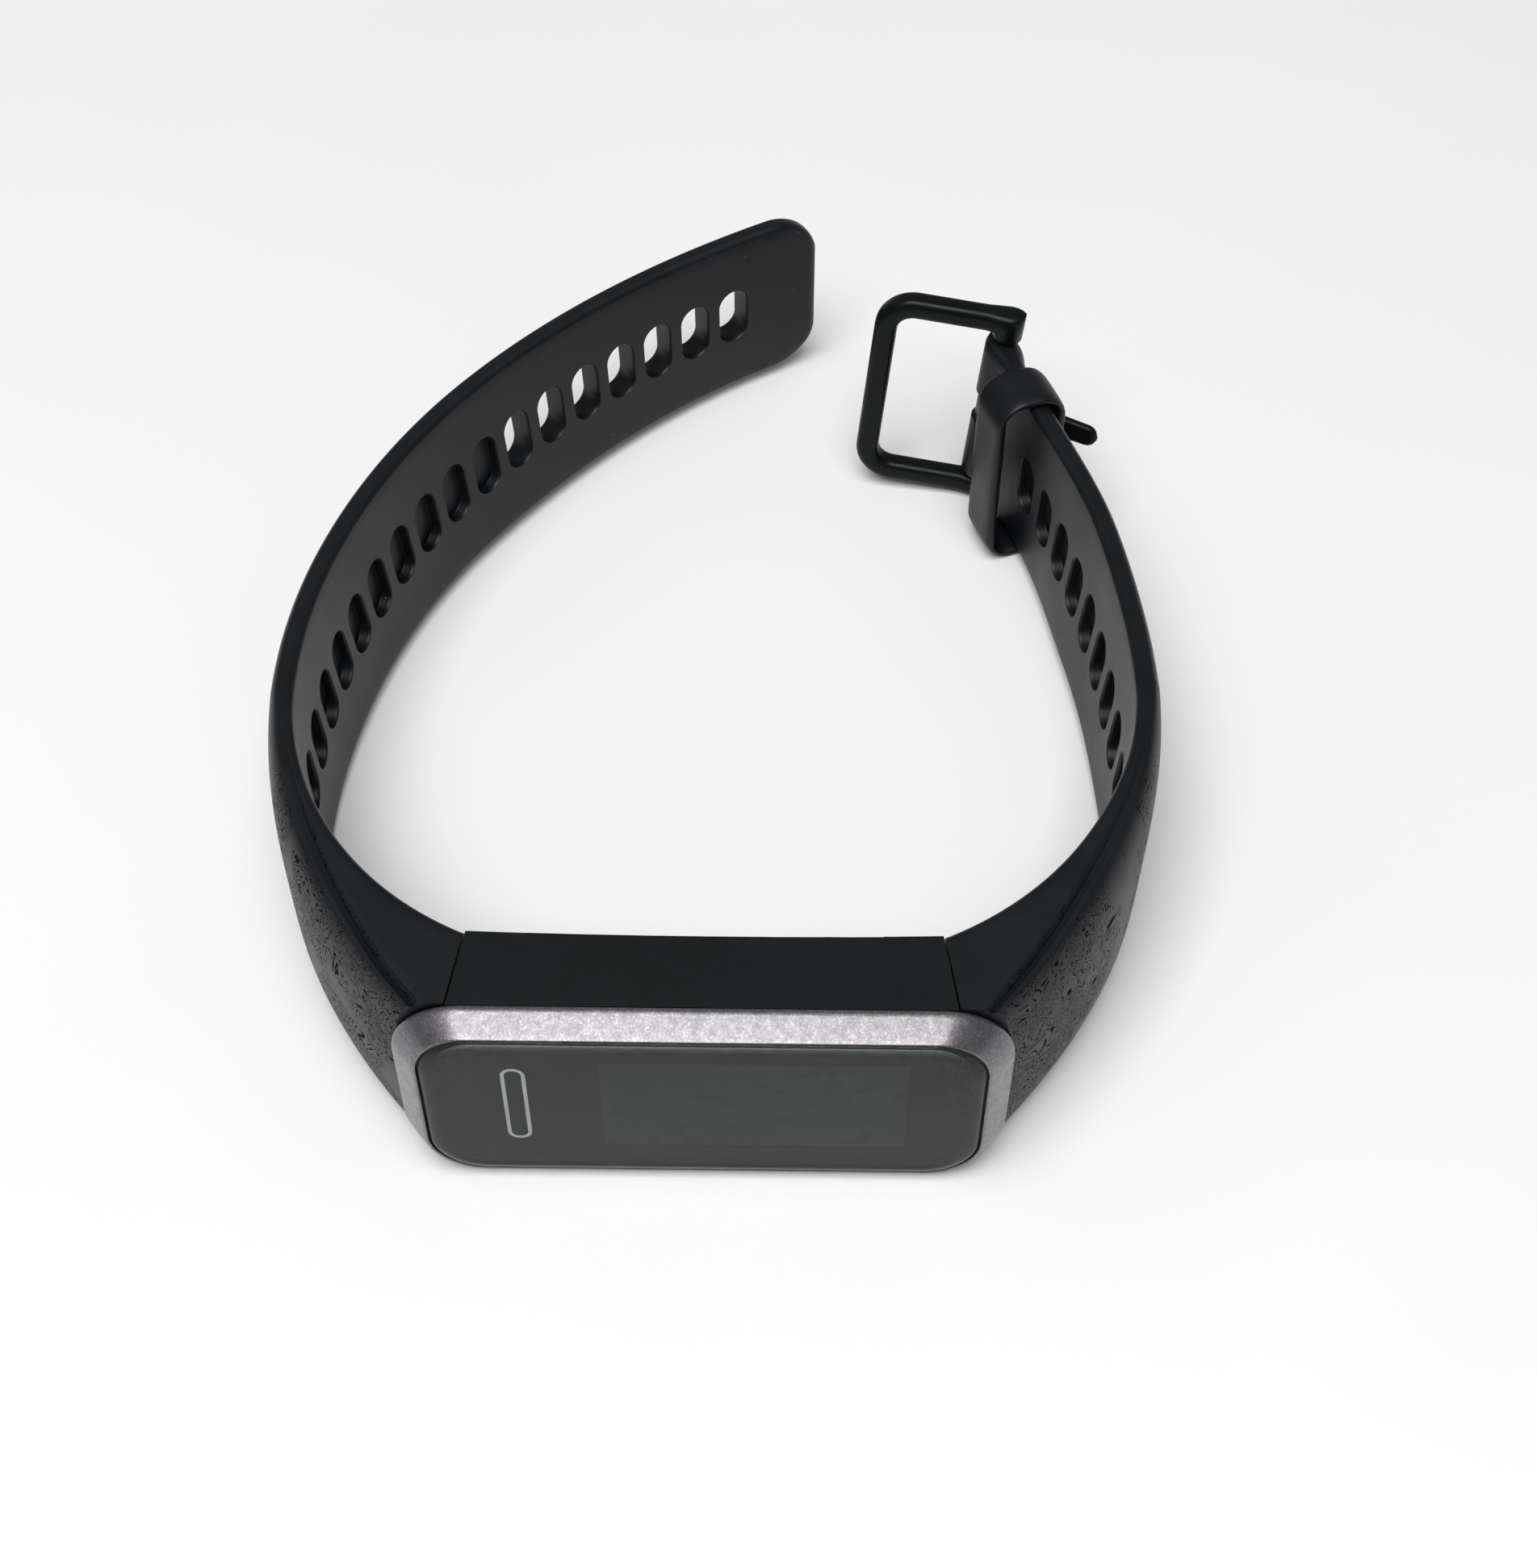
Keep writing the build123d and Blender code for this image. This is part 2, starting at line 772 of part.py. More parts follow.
def core_outline(side, grow):
    """Plan of the stiff socket in a strap's root, grown all round by a wall."""
    low = tongue_y - tongue_thick / 2 - grow
    high = tongue_y + tongue_thick / 2 + grow
    far = tongue_tip + grow
    with BuildSketch(Plane.XY.offset(body_mid - tongue_width / 2 - grow)) as outline:
        with BuildLine():
            Polyline(
                (side * (half_length(low) + strap_joint_gap), low),
                (side * far, low),
                (side * far, high),
                (side * (half_length(high) + strap_joint_gap), high),
                close=True,
            )
        make_face()
    return outline.sketch


def rim_edges(strap, side):
    """The long edges of a strap, clear of its root face and of the buckle end."""
    clear = split_half_top + 2 * strap_joint_gap
    return [
        edge
        for edge in strap.edges().filter_by(Axis.Z, reverse=True)
        if side * edge.center().X > clear or edge.center().Y > taper_from_y
    ]


core_grow = tongue_gap + core_wall
core_height = tongue_width + 2 * core_grow
socket_height = tongue_width + 2 * tongue_gap

long_plan = strap_profile(-1, long_heading, long_arcs)
short_plan = strap_profile(1, short_heading, short_arcs)
width_block = extrude(width_profile(), amount=bezel_length, both=True)
long_core_outside = core_outline(-1, core_grow)
long_core_inside = core_outline(-1, tongue_gap)
short_core_outside = core_outline(1, core_grow)
short_core_inside = core_outline(1, tongue_gap)

with BuildPart() as long_strap:
    add(long_plan)
    extrude(amount=body_width)
    add(width_block, mode=Mode.INTERSECT)
    long_tip, long_tip_heading = walk(strap_start(-1), long_heading, long_arcs, arcs_length(long_arcs))
    tip_plane = Plane(origin=(*long_tip, body_mid), z_dir=unit(long_tip_heading))
    tip_edges = long_strap.edges().filter_by(Axis.Z, reverse=True)
    tip_edges = [edge for edge in tip_edges if abs(tip_plane.to_local_coords(edge.center()).Z) < contact_gap]
    fillet(tip_edges, tip_corner)
    fillet(rim_edges(long_strap, -1), strap_edge_round)
    add(long_core_outside)
    extrude(amount=core_height, mode=Mode.SUBTRACT)
    for number, plane in enumerate(slot_planes(-1, long_heading, long_arcs, long_first_slot, long_slots)):
        depth = blind_depth if number >= through_slots else 2 * strap_thick
        with BuildSketch(plane.offset(cut_over)):
            SlotOverall(slot_length, slot_width)
        extrude(amount=-(depth + cut_over), mode=Mode.SUBTRACT)
save(long_strap, "long_strap")

with BuildPart() as long_strap_core:
    add(long_core_outside)
    extrude(amount=core_height)
    add(long_core_inside)
    extrude(amount=socket_height, mode=Mode.SUBTRACT)
save(long_strap_core, "long_strap_core")

# ---------------------------------------------------------------- buckle end of the short strap
short_length = arcs_length(short_arcs)
short_end, short_end_heading = walk(strap_start(1), short_heading, short_arcs, short_length)
outward_at_bar = unit(short_end_heading - 90)
bar_x = short_end[0] + outward_at_bar.X * strap_thick / 2
bar_y = short_end[1] + outward_at_bar.Y * strap_thick / 2
frame_high = frame_low + frame_width
frame_mid = (frame_low + frame_high) / 2
bar_low = frame_low + frame_bar + pin_gap
bar_high = frame_high - frame_bar - pin_gap
lug_low = frame_low + frame_bar + lug_side_gap
lug_high = body_mid + strap_end_width / 2
bar_plane = Plane(origin=(bar_x, bar_y, 0))
# The strap twists towards the buckle, so the spring bar leans outwards about the strap's own direction.
lean_axis = Axis((bar_x, bar_y, frame_mid), unit(short_end_heading))


def leaned(builder):
    """A part drawn on an upright spring bar, turned to the bar's lean."""
    return builder.part.rotate(lean_axis, buckle_lean)


def save_leaned(builder, name):
    """Write out a part that sits on the spring bar."""
    part = leaned(builder)
    part.label = name
    export_step(part, f"parts/{name}.step")


# The end between the buckle's ears is a little narrower than the strap.
ear_clear = ear_radius + lug_side_gap
with BuildPart() as ear_room:
    for trim_low, trim_high in ((-cut_over, lug_low), (lug_high, body_width + cut_over)):
        with BuildSketch(Plane(origin=(bar_x, bar_y, trim_low), x_dir=unit(short_end_heading))):
            Rectangle(2 * ear_clear, 4 * lug_radius)
        extrude(amount=trim_high - trim_low)
with BuildPart() as lug_round:
    with BuildSketch(bar_plane.offset(lug_low)):
        Circle(lug_radius)
    extrude(amount=lug_high - lug_low)
slot_half = tang_width / 2 + tang_slot_gap
with BuildPart() as lug_holes:
    with BuildSketch(bar_plane):
        Circle(bar_radius + lug_gap)
    extrude(amount=frame_high)
    with BuildSketch(Plane(origin=(bar_x, bar_y, frame_mid - slot_half), x_dir=unit(short_end_heading))):
        with Locations((lug_radius - tang_slot_back / 2, 0)):
            Rectangle(tang_slot_back + 2 * lug_radius, 4 * lug_radius)
    extrude(amount=2 * slot_half)

with BuildPart() as short_strap:
    add(short_plan)
    extrude(amount=body_width)
    add(width_block, mode=Mode.INTERSECT)
    fillet(rim_edges(short_strap, 1), strap_edge_round)
    add(leaned(ear_room), mode=Mode.SUBTRACT)
    add(leaned(lug_round))
    add(leaned(lug_holes), mode=Mode.SUBTRACT)
    add(short_core_outside)
    extrude(amount=core_height, mode=Mode.SUBTRACT)
    for plane in slot_planes(1, short_heading, short_arcs, short_first_slot, short_slots):
        with BuildSketch(plane.offset(cut_over)):
            SlotOverall(slot_length, slot_width)
        extrude(amount=-(blind_depth + cut_over), mode=Mode.SUBTRACT)
save(short_strap, "short_strap")

with BuildPart() as short_strap_core:
    add(short_core_outside)
    extrude(amount=core_height)
    add(short_core_inside)
    extrude(amount=socket_height, mode=Mode.SUBTRACT)
save(short_strap_core, "short_strap_core")

# ---------------------------------------------------------------- spring bar
with BuildPart() as spring_bar_tube:
    with BuildSketch(bar_plane.offset(bar_low)):
        Circle(bar_radius)
        Circle(bar_swage_bore, mode=Mode.SUBTRACT)
    extrude(amount=bar_high - bar_low)
    with BuildSketch(bar_plane.offset(bar_low + bar_swage)):
        Circle(bar_bore)
    extrude(amount=bar_high - bar_low - 2 * bar_swage, mode=Mode.SUBTRACT)
save_leaned(spring_bar_tube, "spring_bar_tube")

flange_low = bar_low + bar_swage
flange_high = bar_high - bar_swage
with BuildPart() as spring_bar_tip_lower:
    with BuildSketch(bar_plane.offset(bar_low - pin_reach)):
        Circle(pin_radius)
    extrude(amount=pin_reach + bar_swage)
    with BuildSketch(bar_plane.offset(flange_low)):
        Circle(pin_flange_radius)
    extrude(amount=pin_flange_thick)
    chamfer(spring_bar_tip_lower.faces().sort_by(Axis.Z)[0].edges(), pin_chamfer)
save_leaned(spring_bar_tip_lower, "spring_bar_tip_lower")

with BuildPart() as spring_bar_tip_upper:
    with BuildSketch(bar_plane.offset(flange_high)):
        Circle(pin_radius)
    extrude(amount=pin_reach + bar_swage)
    with BuildSketch(bar_plane.offset(flange_high - pin_flange_thick)):
        Circle(pin_flange_radius)
    extrude(amount=pin_flange_thick)
    chamfer(spring_bar_tip_upper.faces().sort_by(Axis.Z)[-1].edges(), pin_chamfer)
save_leaned(spring_bar_tip_upper, "spring_bar_tip_upper")

coil_low = flange_low + pin_flange_thick + coil_wire
coil_high = flange_high - pin_flange_thick - coil_wire
with BuildPart() as spring_bar_coil:
    with BuildLine() as coil_path:
        Helix(
            pitch=(coil_high - coil_low) / coil_turns,
            height=coil_high - coil_low,
            radius=coil_radius,
            center=(bar_x, bar_y, coil_low),
        )
    with BuildSketch(Plane(origin=coil_path.line @ 0, z_dir=coil_path.line % 0)):
        RegularPolygon(coil_wire, coil_wire_flats)
    sweep(path=coil_path.line, is_frenet=True)
save_leaned(spring_bar_coil, "spring_bar_coil")

# ---------------------------------------------------------------- buckle frame
frame_normal = unit(frame_heading - 90)
frame_plane = Plane(origin=(bar_x, bar_y, frame_mid), x_dir=unit(frame_heading), z_dir=frame_normal)
frame_length = frame_reach + frame_bar / 2
inner_length = frame_length - frame_bar
inner_corner = frame_corner - frame_bar
with BuildPart() as buckle_frame:
    with BuildSketch(frame_plane.offset(-frame_bar / 2)):
        with BuildLine():
            half = frame_width / 2
            FilletPolyline(
                (0, half),
                (frame_length, half),
                (frame_length, -half),
                (0, -half),
                radius=frame_corner,
            )
            Line((0, -half), (0, -half + frame_bar))
            FilletPolyline(
                (0, -half + frame_bar),
                (inner_length, -half + frame_bar),
                (inner_length, half - frame_bar),
                (0, half - frame_bar),
                radius=inner_corner,
            )
            Line((0, half - frame_bar), (0, half))
        make_face()
    extrude(amount=frame_bar)
    in_frame = frame_plane.to_local_coords
    long_edges = [edge for edge in buckle_frame.edges() if in_frame(edge.center()).X > small_gap]
    fillet(long_edges, frame_edge_round)
    for ear_low in (frame_low, frame_high - frame_bar):
        with BuildSketch(bar_plane.offset(ear_low)):
            Circle(ear_radius)
        extrude(amount=frame_bar)
    boss_low = lug_high + lug_side_gap
    with BuildSketch(bar_plane.offset(boss_low)):
        Circle(ear_radius)
    extrude(amount=frame_high - frame_bar - boss_low)
    with BuildSketch(bar_plane.offset(bar_low - pin_reach - pin_gap)):
        Circle(pin_radius + pin_gap)
    extrude(amount=bar_high - bar_low + 2 * (pin_reach + pin_gap), mode=Mode.SUBTRACT)
    with BuildSketch(bar_plane.offset(boss_low)):
        Circle(bar_radius + pin_gap)
    extrude(amount=frame_high - frame_bar - boss_low, mode=Mode.SUBTRACT)
save_leaned(buckle_frame, "buckle_frame")

# ---------------------------------------------------------------- buckle tang
tang_low = frame_mid - tang_width / 2
tang_ring = bar_radius + tang_gap + tang_ring_wall
tang_plane = Plane(
    origin=(bar_x, bar_y, frame_mid), x_dir=unit(tang_heading), z_dir=unit(tang_heading - 90)
)
with BuildPart() as buckle_tang:
    with BuildSketch(bar_plane.offset(tang_low)):
        Circle(tang_ring)
    extrude(amount=tang_width)
    with BuildSketch(tang_plane):
        with Locations((tang_reach / 2, 0)):
            SlotOverall(tang_reach + tang_width, tang_width)
    extrude(amount=tang_thick / 2, both=True)
    back_trim = Plane(origin=(bar_x, bar_y, tang_low - cut_over), x_dir=unit(tang_heading))
    with BuildSketch(back_trim):
        with Locations((-tang_reach / 2 - tang_ring, 0)):
            Rectangle(tang_reach, tang_reach)
    extrude(amount=tang_width + 2 * cut_over, mode=Mode.SUBTRACT)
    with BuildSketch(bar_plane.offset(tang_low - cut_over)):
        Circle(bar_radius + tang_gap)
    extrude(amount=tang_width + 2 * cut_over, mode=Mode.SUBTRACT)
save_leaned(buckle_tang, "buckle_tang")

# ---------------------------------------------------------------- keeper loop
keeper_at, keeper_heading = walk(
    strap_start(1), short_heading, short_arcs, short_length - keeper_back - keeper_length / 2
)
keeper_opening = keeper_layers * strap_thick + keeper_slack
keeper_depth = keeper_opening + 2 * keeper_wall
keeper_shift = strap_thick + keeper_outer_gap + keeper_wall - keeper_depth / 2
keeper_centre = Vector(*keeper_at, keeper_width / 2) + unit(keeper_heading - 90) * keeper_shift
keeper_plane = Plane(origin=keeper_centre, x_dir=unit(keeper_heading - 90), z_dir=unit(keeper_heading))
with BuildPart() as keeper_loop:
    with BuildSketch(keeper_plane):
        RectangleRounded(keeper_depth, keeper_width, keeper_corner)
    extrude(amount=keeper_length / 2, both=True)
    fillet(keeper_loop.edges(), keeper_edge_round)
    with BuildSketch(keeper_plane):
        RectangleRounded(keeper_opening, keeper_width - 2 * keeper_side_wall, keeper_inner_corner)
    extrude(amount=keeper_length, both=True, mode=Mode.SUBTRACT)
save(keeper_loop, "keeper_loop")
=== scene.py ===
import math

import bmesh
import bpy
import numpy as np
from mathutils import Matrix, Vector


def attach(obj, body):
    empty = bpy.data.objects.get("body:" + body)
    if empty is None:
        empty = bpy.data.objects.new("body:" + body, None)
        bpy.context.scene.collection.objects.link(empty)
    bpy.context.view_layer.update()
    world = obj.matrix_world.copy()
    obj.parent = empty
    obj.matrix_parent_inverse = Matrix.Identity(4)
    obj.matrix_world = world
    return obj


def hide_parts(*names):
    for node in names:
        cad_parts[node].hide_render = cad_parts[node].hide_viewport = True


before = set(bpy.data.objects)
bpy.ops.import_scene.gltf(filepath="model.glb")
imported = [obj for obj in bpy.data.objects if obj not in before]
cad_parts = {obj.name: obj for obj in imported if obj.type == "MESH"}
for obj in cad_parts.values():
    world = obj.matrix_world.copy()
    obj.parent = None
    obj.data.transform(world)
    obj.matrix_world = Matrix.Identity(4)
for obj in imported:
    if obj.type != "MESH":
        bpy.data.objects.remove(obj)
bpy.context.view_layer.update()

MM = 0.001

# ------------------------------------------------------------------ shared sizes, in millimetres
MID = 9.25                            # middle of the band's width, and half the strap at the housing
HALF_TOP, HALF_WRIST = 17.7, 16.8     # half the housing's length at its two faces
SPLIT_Y, WRIST_Y = -3.2, 3.2          # levels of those faces
BEZEL_HALF = 21.9                     # half the bezel's length
TONGUE_TIP = 21.45                    # how far the housing's tongues reach
GAP = 0.12                            # between a strap and what it sits against
THICK = 2.4                           # strap thickness
FACE = 1.15                           # flat part of the strap's edge, from the inner face
END_NARROWING = 0.95                  # what half the strap's width loses towards its end
LONG_LEAN, SHORT_LEAN, KEEPER_LEAN = 6.0, 4.5, 0.6    # degrees the straps twist along their length
BAR_LEAN = 5.5                        # degrees the spring bar leans outwards
FRAME_MID = 10.35                     # middle of the buckle on its bar
LUG_RADIUS, LUG_LOW, LUG_HIGH = 1.75, 2.45, 17.55     # the short strap's end round the bar
LUG_BORE, TANG_BORE, BOSS_BORE, PIN_BORE = 0.79, 0.785, 0.8, 0.5
SLOT_WIDTH, SLOT_LENGTH, SLOT_PITCH = 2.9, 5.6, 4.2


def xy(x, y):
    return np.array([x, y], float)


# ------------------------------------------------------------------ small maths helpers
def smooth(t):
    t = min(1.0, max(0.0, t))
    return t * t * (3 - 2 * t)


def lerp(a, b, t):
    return a + (b - a) * t


def direction(deg):
    return xy(math.cos(math.radians(deg)), math.sin(math.radians(deg)))


def walk(start, heading, arcs, distance):
    """Point and heading at a distance along a chain of tangent arcs."""
    x, y = start
    left = distance
    for radius, turn in arcs:
        step = min(left, radius * math.radians(abs(turn)))
        sign = math.copysign(1, turn)
        a = math.radians(heading)
        heading += sign * math.degrees(step / radius)
        b = math.radians(heading)
        x += sign * radius * (math.sin(b) - math.sin(a))
        y -= sign * radius * (math.cos(b) - math.cos(a))
        left -= step
    return xy(x, y) + left * direction(heading), heading


def arcs_length(arcs):
    return sum(r * math.radians(abs(t)) for r, t in arcs)


def through(points, count):
    """Smooth curve through a few points, evenly spaced by length."""
    p = [np.array(q, float) for q in points]
    p = [2 * p[0] - p[1]] + p + [2 * p[-1] - p[-2]]
    out = []
    samples = 24
    for i in range(1, len(p) - 2):
        a, b, c, d = p[i - 1], p[i], p[i + 1], p[i + 2]
        for k in range(samples):
            t = k / samples
            bend = (2 * a - 5 * b + 4 * c - d) * t * t
            twist = (3 * b - a - 3 * c + d) * t ** 3
            out.append(0.5 * (2 * b + (c - a) * t + bend + twist))
    out.append(p[-2])
    out = np.array(out)
    run = np.r_[0, np.cumsum(np.hypot(*np.diff(out, axis=0).T))]
    at = np.linspace(0, run[-1], count)
    return np.c_[np.interp(at, run, out[:, 0]), np.interp(at, run, out[:, 1])]


# ------------------------------------------------------------------ mesh helpers
def new_object(name, mesh):
    obj = bpy.data.objects.new(name, mesh)
    bpy.context.scene.collection.objects.link(obj)
    return obj


def build(name, verts, faces):
    """Object from vertices in millimetres."""
    mesh = bpy.data.meshes.new(name)
    mesh.from_pydata([tuple(float(c) * MM for c in v) for v in verts], [], faces)
    mesh.validate()
    bm = bmesh.new()
    bm.from_mesh(mesh)
    bmesh.ops.remove_doubles(bm, verts=bm.verts, dist=1e-7)
    bmesh.ops.recalc_face_normals(bm, faces=bm.faces)
    bm.to_mesh(mesh)
    bm.free()
    return new_object(name, mesh)


def rings(name, loops, closed=False):
    """Skin over a list of closed loops of the same length, capped at both ends unless it closes on itself."""
    m = len(loops[0])
    verts = [p for loop in loops for p in loop]
    faces = []
    n = len(loops)
    for i in range(n if closed else n - 1):
        j = (i + 1) % n
        for k in range(m):
            l = (k + 1) % m
            faces.append((i * m + k, i * m + l, j * m + l, j * m + k))
    if not closed:
        faces.append(tuple(range(m)))
        faces.append(tuple((n - 1) * m + k for k in range(m)))
    return build(name, verts, faces)


def apply_modifiers(obj):
    deps = bpy.context.evaluated_depsgraph_get()
    mesh = bpy.data.meshes.new_from_object(obj.evaluated_get(deps))
    obj.modifiers.clear()
    old = obj.data
    obj.data = mesh
    bpy.data.meshes.remove(old)


def cut(obj, cutter, operation="DIFFERENCE"):
    """Cut one object from another, or join it to it, and delete the tool."""
    mod = obj.modifiers.new("cut", "BOOLEAN")
    mod.operation = operation
    mod.solver = "EXACT"
    mod.object = cutter
    apply_modifiers(obj)
    bpy.data.objects.remove(cutter)


def shade(obj, angle):
    """Smooth shading with sharp edges above an angle, weighted by face area."""
    mesh = obj.data
    for poly in mesh.polygons:
        poly.use_smooth = True
    bm = bmesh.new()
    bm.from_mesh(mesh)
    limit = math.radians(angle)
    for edge in bm.edges:
        edge.smooth = len(edge.link_faces) == 2 and edge.calc_face_angle(0) < limit
    bm.to_mesh(mesh)
    bm.free()
    mod = obj.modifiers.new("normals", "WEIGHTED_NORMAL")
    mod.keep_sharp = True
    mod.weight = 60
    apply_modifiers(obj)


def rounded_rect(half_x, half_z, radius, per_corner=14):
    """Closed loop of (x, z) points, corners as arcs."""
    pts = []
    for cx, cz, start in ((1, 1, 0), (-1, 1, 90), (-1, -1, 180), (1, -1, 270)):
        for k in range(per_corner + 1):
            a = math.radians(start + 90 * k / per_corner)
            x = cx * (half_x - radius) + radius * math.cos(a)
            z = cz * (half_z - radius) + radius * math.sin(a)
            pts.append((x, z))
    return pts


# ------------------------------------------------------------------ node material helpers
class Mat:
    """A principled material with short calls for the procedural nodes used here."""

    def __init__(self, name):
        self.mat = bpy.data.materials.new(name)
        self.mat.use_nodes = True
        self.t = self.mat.node_tree
        self.bsdf = next(n for n in self.t.nodes if n.type == "BSDF_PRINCIPLED")
        self.coords = self.t.nodes.new("ShaderNodeTexCoord").outputs["Object"]

    def set(self, **values):
        for key, value in values.items():
            self.bsdf.inputs[key.replace("_", " ")].default_value = value

    def node(self, kind, **settings):
        n = self.t.nodes.new(kind)
        for key, value in settings.items():
            if hasattr(n, key):
                setattr(n, key, value)
            else:
                n.inputs[key.replace("_", " ")].default_value = value
        return n

    def link(self, a, b):
        self.t.links.new(a, b)

    def noise(self, scale, detail=3.0, rough=0.55, distort=0.0):
        n = self.node("ShaderNodeTexNoise", Scale=scale, Detail=detail, Roughness=rough, Distortion=distort)
        self.link(self.coords, n.inputs["Vector"])
        return n.outputs["Fac"]

    def voronoi(self, scale, out="Distance"):
        n = self.node("ShaderNodeTexVoronoi", Scale=scale)
        self.link(self.coords, n.inputs["Vector"])
        return n.outputs[out]

    def ramp(self, fac, stops):
        n = self.node("ShaderNodeValToRGB")
        els = n.color_ramp.elements
        while len(els) < len(stops):
            els.new(0.5)
        for el, (pos, col) in zip(els, stops):
            el.position = pos
            el.color = (*col, 1)
        self.link(fac, n.inputs["Fac"])
        return n.outputs["Color"]

    def span(self, fac, from_low, from_high, to_low, to_high):
        n = self.node("ShaderNodeMapRange")
        for i, v in enumerate((from_low, from_high, to_low, to_high)):
            n.inputs[1 + i].default_value = v
        self.link(fac, n.inputs[0])
        return n.outputs[0]

    def maths(self, op, a, b=None):
        n = self.node("ShaderNodeMath")
        n.operation = op
        for i, v in enumerate((a, b)):
            if v is None:
                continue
            if isinstance(v, (int, float)):
                n.inputs[i].default_value = v
            else:
                self.link(v, n.inputs[i])
        return n.outputs[0]

    def mix(self, fac, under, over):
        """A fixed colour laid over a socket's colour."""
        n = self.node("ShaderNodeMix")
        n.data_type = "RGBA"
        self.link(fac, n.inputs[0])
        self.link(under, n.inputs[6])
        n.inputs[7].default_value = (*over, 1)
        return n.outputs[2]

    def colour(self, socket):
        self.link(socket, self.bsdf.inputs["Base Color"])

    def roughness(self, socket):
        self.link(socket, self.bsdf.inputs["Roughness"])

    def bump(self, height, distance, strength):
        n = self.node("ShaderNodeBump")
        n.inputs["Strength"].default_value = strength
        n.inputs["Distance"].default_value = distance
        self.link(height, n.inputs["Height"])
        self.link(n.outputs["Normal"], self.bsdf.inputs["Normal"])


def tint(base, factor):
    """A colour made lighter or darker."""
    return tuple(min(1, c * factor) for c in base)


DUST_COLOUR, ETCH_COLOUR = (0.40, 0.40, 0.39), (0.004, 0.004, 0.005)
ETCH_FULL, ETCH_GONE = 0.012, 0.024       # y in metres, between which the etched lines fade out


def silicone(name, base, etched=False):
    """Matt rubber with dust specks; etched adds the wandering lines on the outer faces."""
    m = Mat(name)
    cloud = m.noise(180, 4)
    fine = m.noise(9000, 2)
    specks = m.voronoi(900)
    col = m.ramp(cloud, [(0.35, tint(base, 0.82)), (0.65, tint(base, 1.25))])
    dust = m.span(specks, 0.035, 0.05, 1.0, 0.0)
    gate = m.span(m.noise(320, 1), 0.62, 0.66, 0.0, 1.0)
    dust = m.maths("MULTIPLY", dust, gate)
    col = m.mix(m.maths("MULTIPLY", dust, 0.7), col, DUST_COLOUR)
    rough = m.span(cloud, 0.3, 0.7, 0.40, 0.47)
    height = m.maths("ADD", m.maths("MULTIPLY", fine, 0.5), m.maths("MULTIPLY", cloud, 0.5))
    if etched:
        sep = m.node("ShaderNodeSeparateXYZ")
        m.link(m.coords, sep.inputs[0])
        wander = m.noise(260, 3, 0.5, 1.2)
        lines = m.maths("ABSOLUTE", m.maths("SINE", m.maths("MULTIPLY", wander, 62.0)))
        lines = m.span(lines, 0.22, 0.45, 1.0, 0.0)
        patch = m.span(m.noise(150, 2), 0.40, 0.46, 0.0, 1.0)
        near = m.maths("MULTIPLY", m.span(sep.outputs[1], ETCH_FULL, ETCH_GONE, 1.0, 0.0), patch)
        geo = m.node("ShaderNodeNewGeometry")
        nrm = m.node("ShaderNodeSeparateXYZ")
        m.link(geo.outputs["Normal"], nrm.inputs[0])
        outward = m.maths("MULTIPLY", nrm.outputs[0], m.maths("SIGN", sep.outputs[0]))
        lines = m.maths("MULTIPLY", m.maths("MULTIPLY", lines, near), m.span(outward, 0.35, 0.6, 0.0, 1.0))
        col = m.mix(m.maths("MULTIPLY", lines, 0.75), col, ETCH_COLOUR)
        rough = m.maths("ADD", rough, m.maths("MULTIPLY", lines, 0.45))
        height = m.maths("SUBTRACT", height, m.maths("MULTIPLY", lines, 2.0))
        shine = m.span(lines, 0.0, 1.0, 0.30, 0.02)
    m.colour(col)
    m.roughness(rough)
    m.bump(height, 0.00003, 0.55)
    m.set(Specular_IOR_Level=0.30)
    if etched:
        m.link(shine, m.bsdf.inputs["Specular IOR Level"])
    return m.mat


def moulded(name, base, rough_lo, rough_hi, grain, depth=0.00002, spec=0.5):
    """Fine-grained moulded plastic."""
    m = Mat(name)
    big = m.noise(140, 3)
    fine = m.noise(grain, 3)
    m.colour(m.ramp(big, [(0.3, tint(base, 0.85)), (0.7, tint(base, 1.18))]))
    m.roughness(m.span(fine, 0.3, 0.7, rough_lo, rough_hi))
    m.bump(fine, depth, 0.6)
    m.set(Specular_IOR_Level=spec)
    return m.mat


def metal(name, base, rough_lo, rough_hi, scale):
    """Turned, rolled or plated metal."""
    m = Mat(name)
    fine = m.noise(scale, 4)
    m.colour(m.ramp(fine, [(0.3, tint(base, 0.8)), (0.7, tint(base, 1.15))]))
    m.roughness(m.span(m.noise(scale / 5, 3), 0.3, 0.7, rough_lo, rough_hi))
    m.bump(fine, 0.00001, 0.5)
    m.set(Metallic=1.0)
    return m.mat


def bezel_paint():
    """Gunmetal paint with fine flakes under a thin clear coat."""
    m = Mat("gunmetal_paint")
    flakes = m.voronoi(9500, out="Color")
    bw = m.node("ShaderNodeRGBToBW")
    m.link(flakes, bw.inputs[0])
    peel = m.noise(1500, 2, 0.5)
    dull, plain, bright = (0.135, 0.129, 0.136), (0.168, 0.160, 0.170), (0.25, 0.242, 0.254)
    m.colour(m.ramp(bw.outputs[0], [(0.15, dull), (0.6, plain), (0.95, bright)]))
    m.roughness(m.span(peel, 0.3, 0.7, 0.30, 0.42))
    height = m.maths("ADD", m.maths("MULTIPLY", peel, 1.6), m.maths("MULTIPLY", bw.outputs[0], 0.12))
    m.bump(height, 0.00003, 0.4)
    m.set(Metallic=0.82, Specular_IOR_Level=0.5, Coat_Weight=0.25, Coat_Roughness=0.12)
    return m.mat


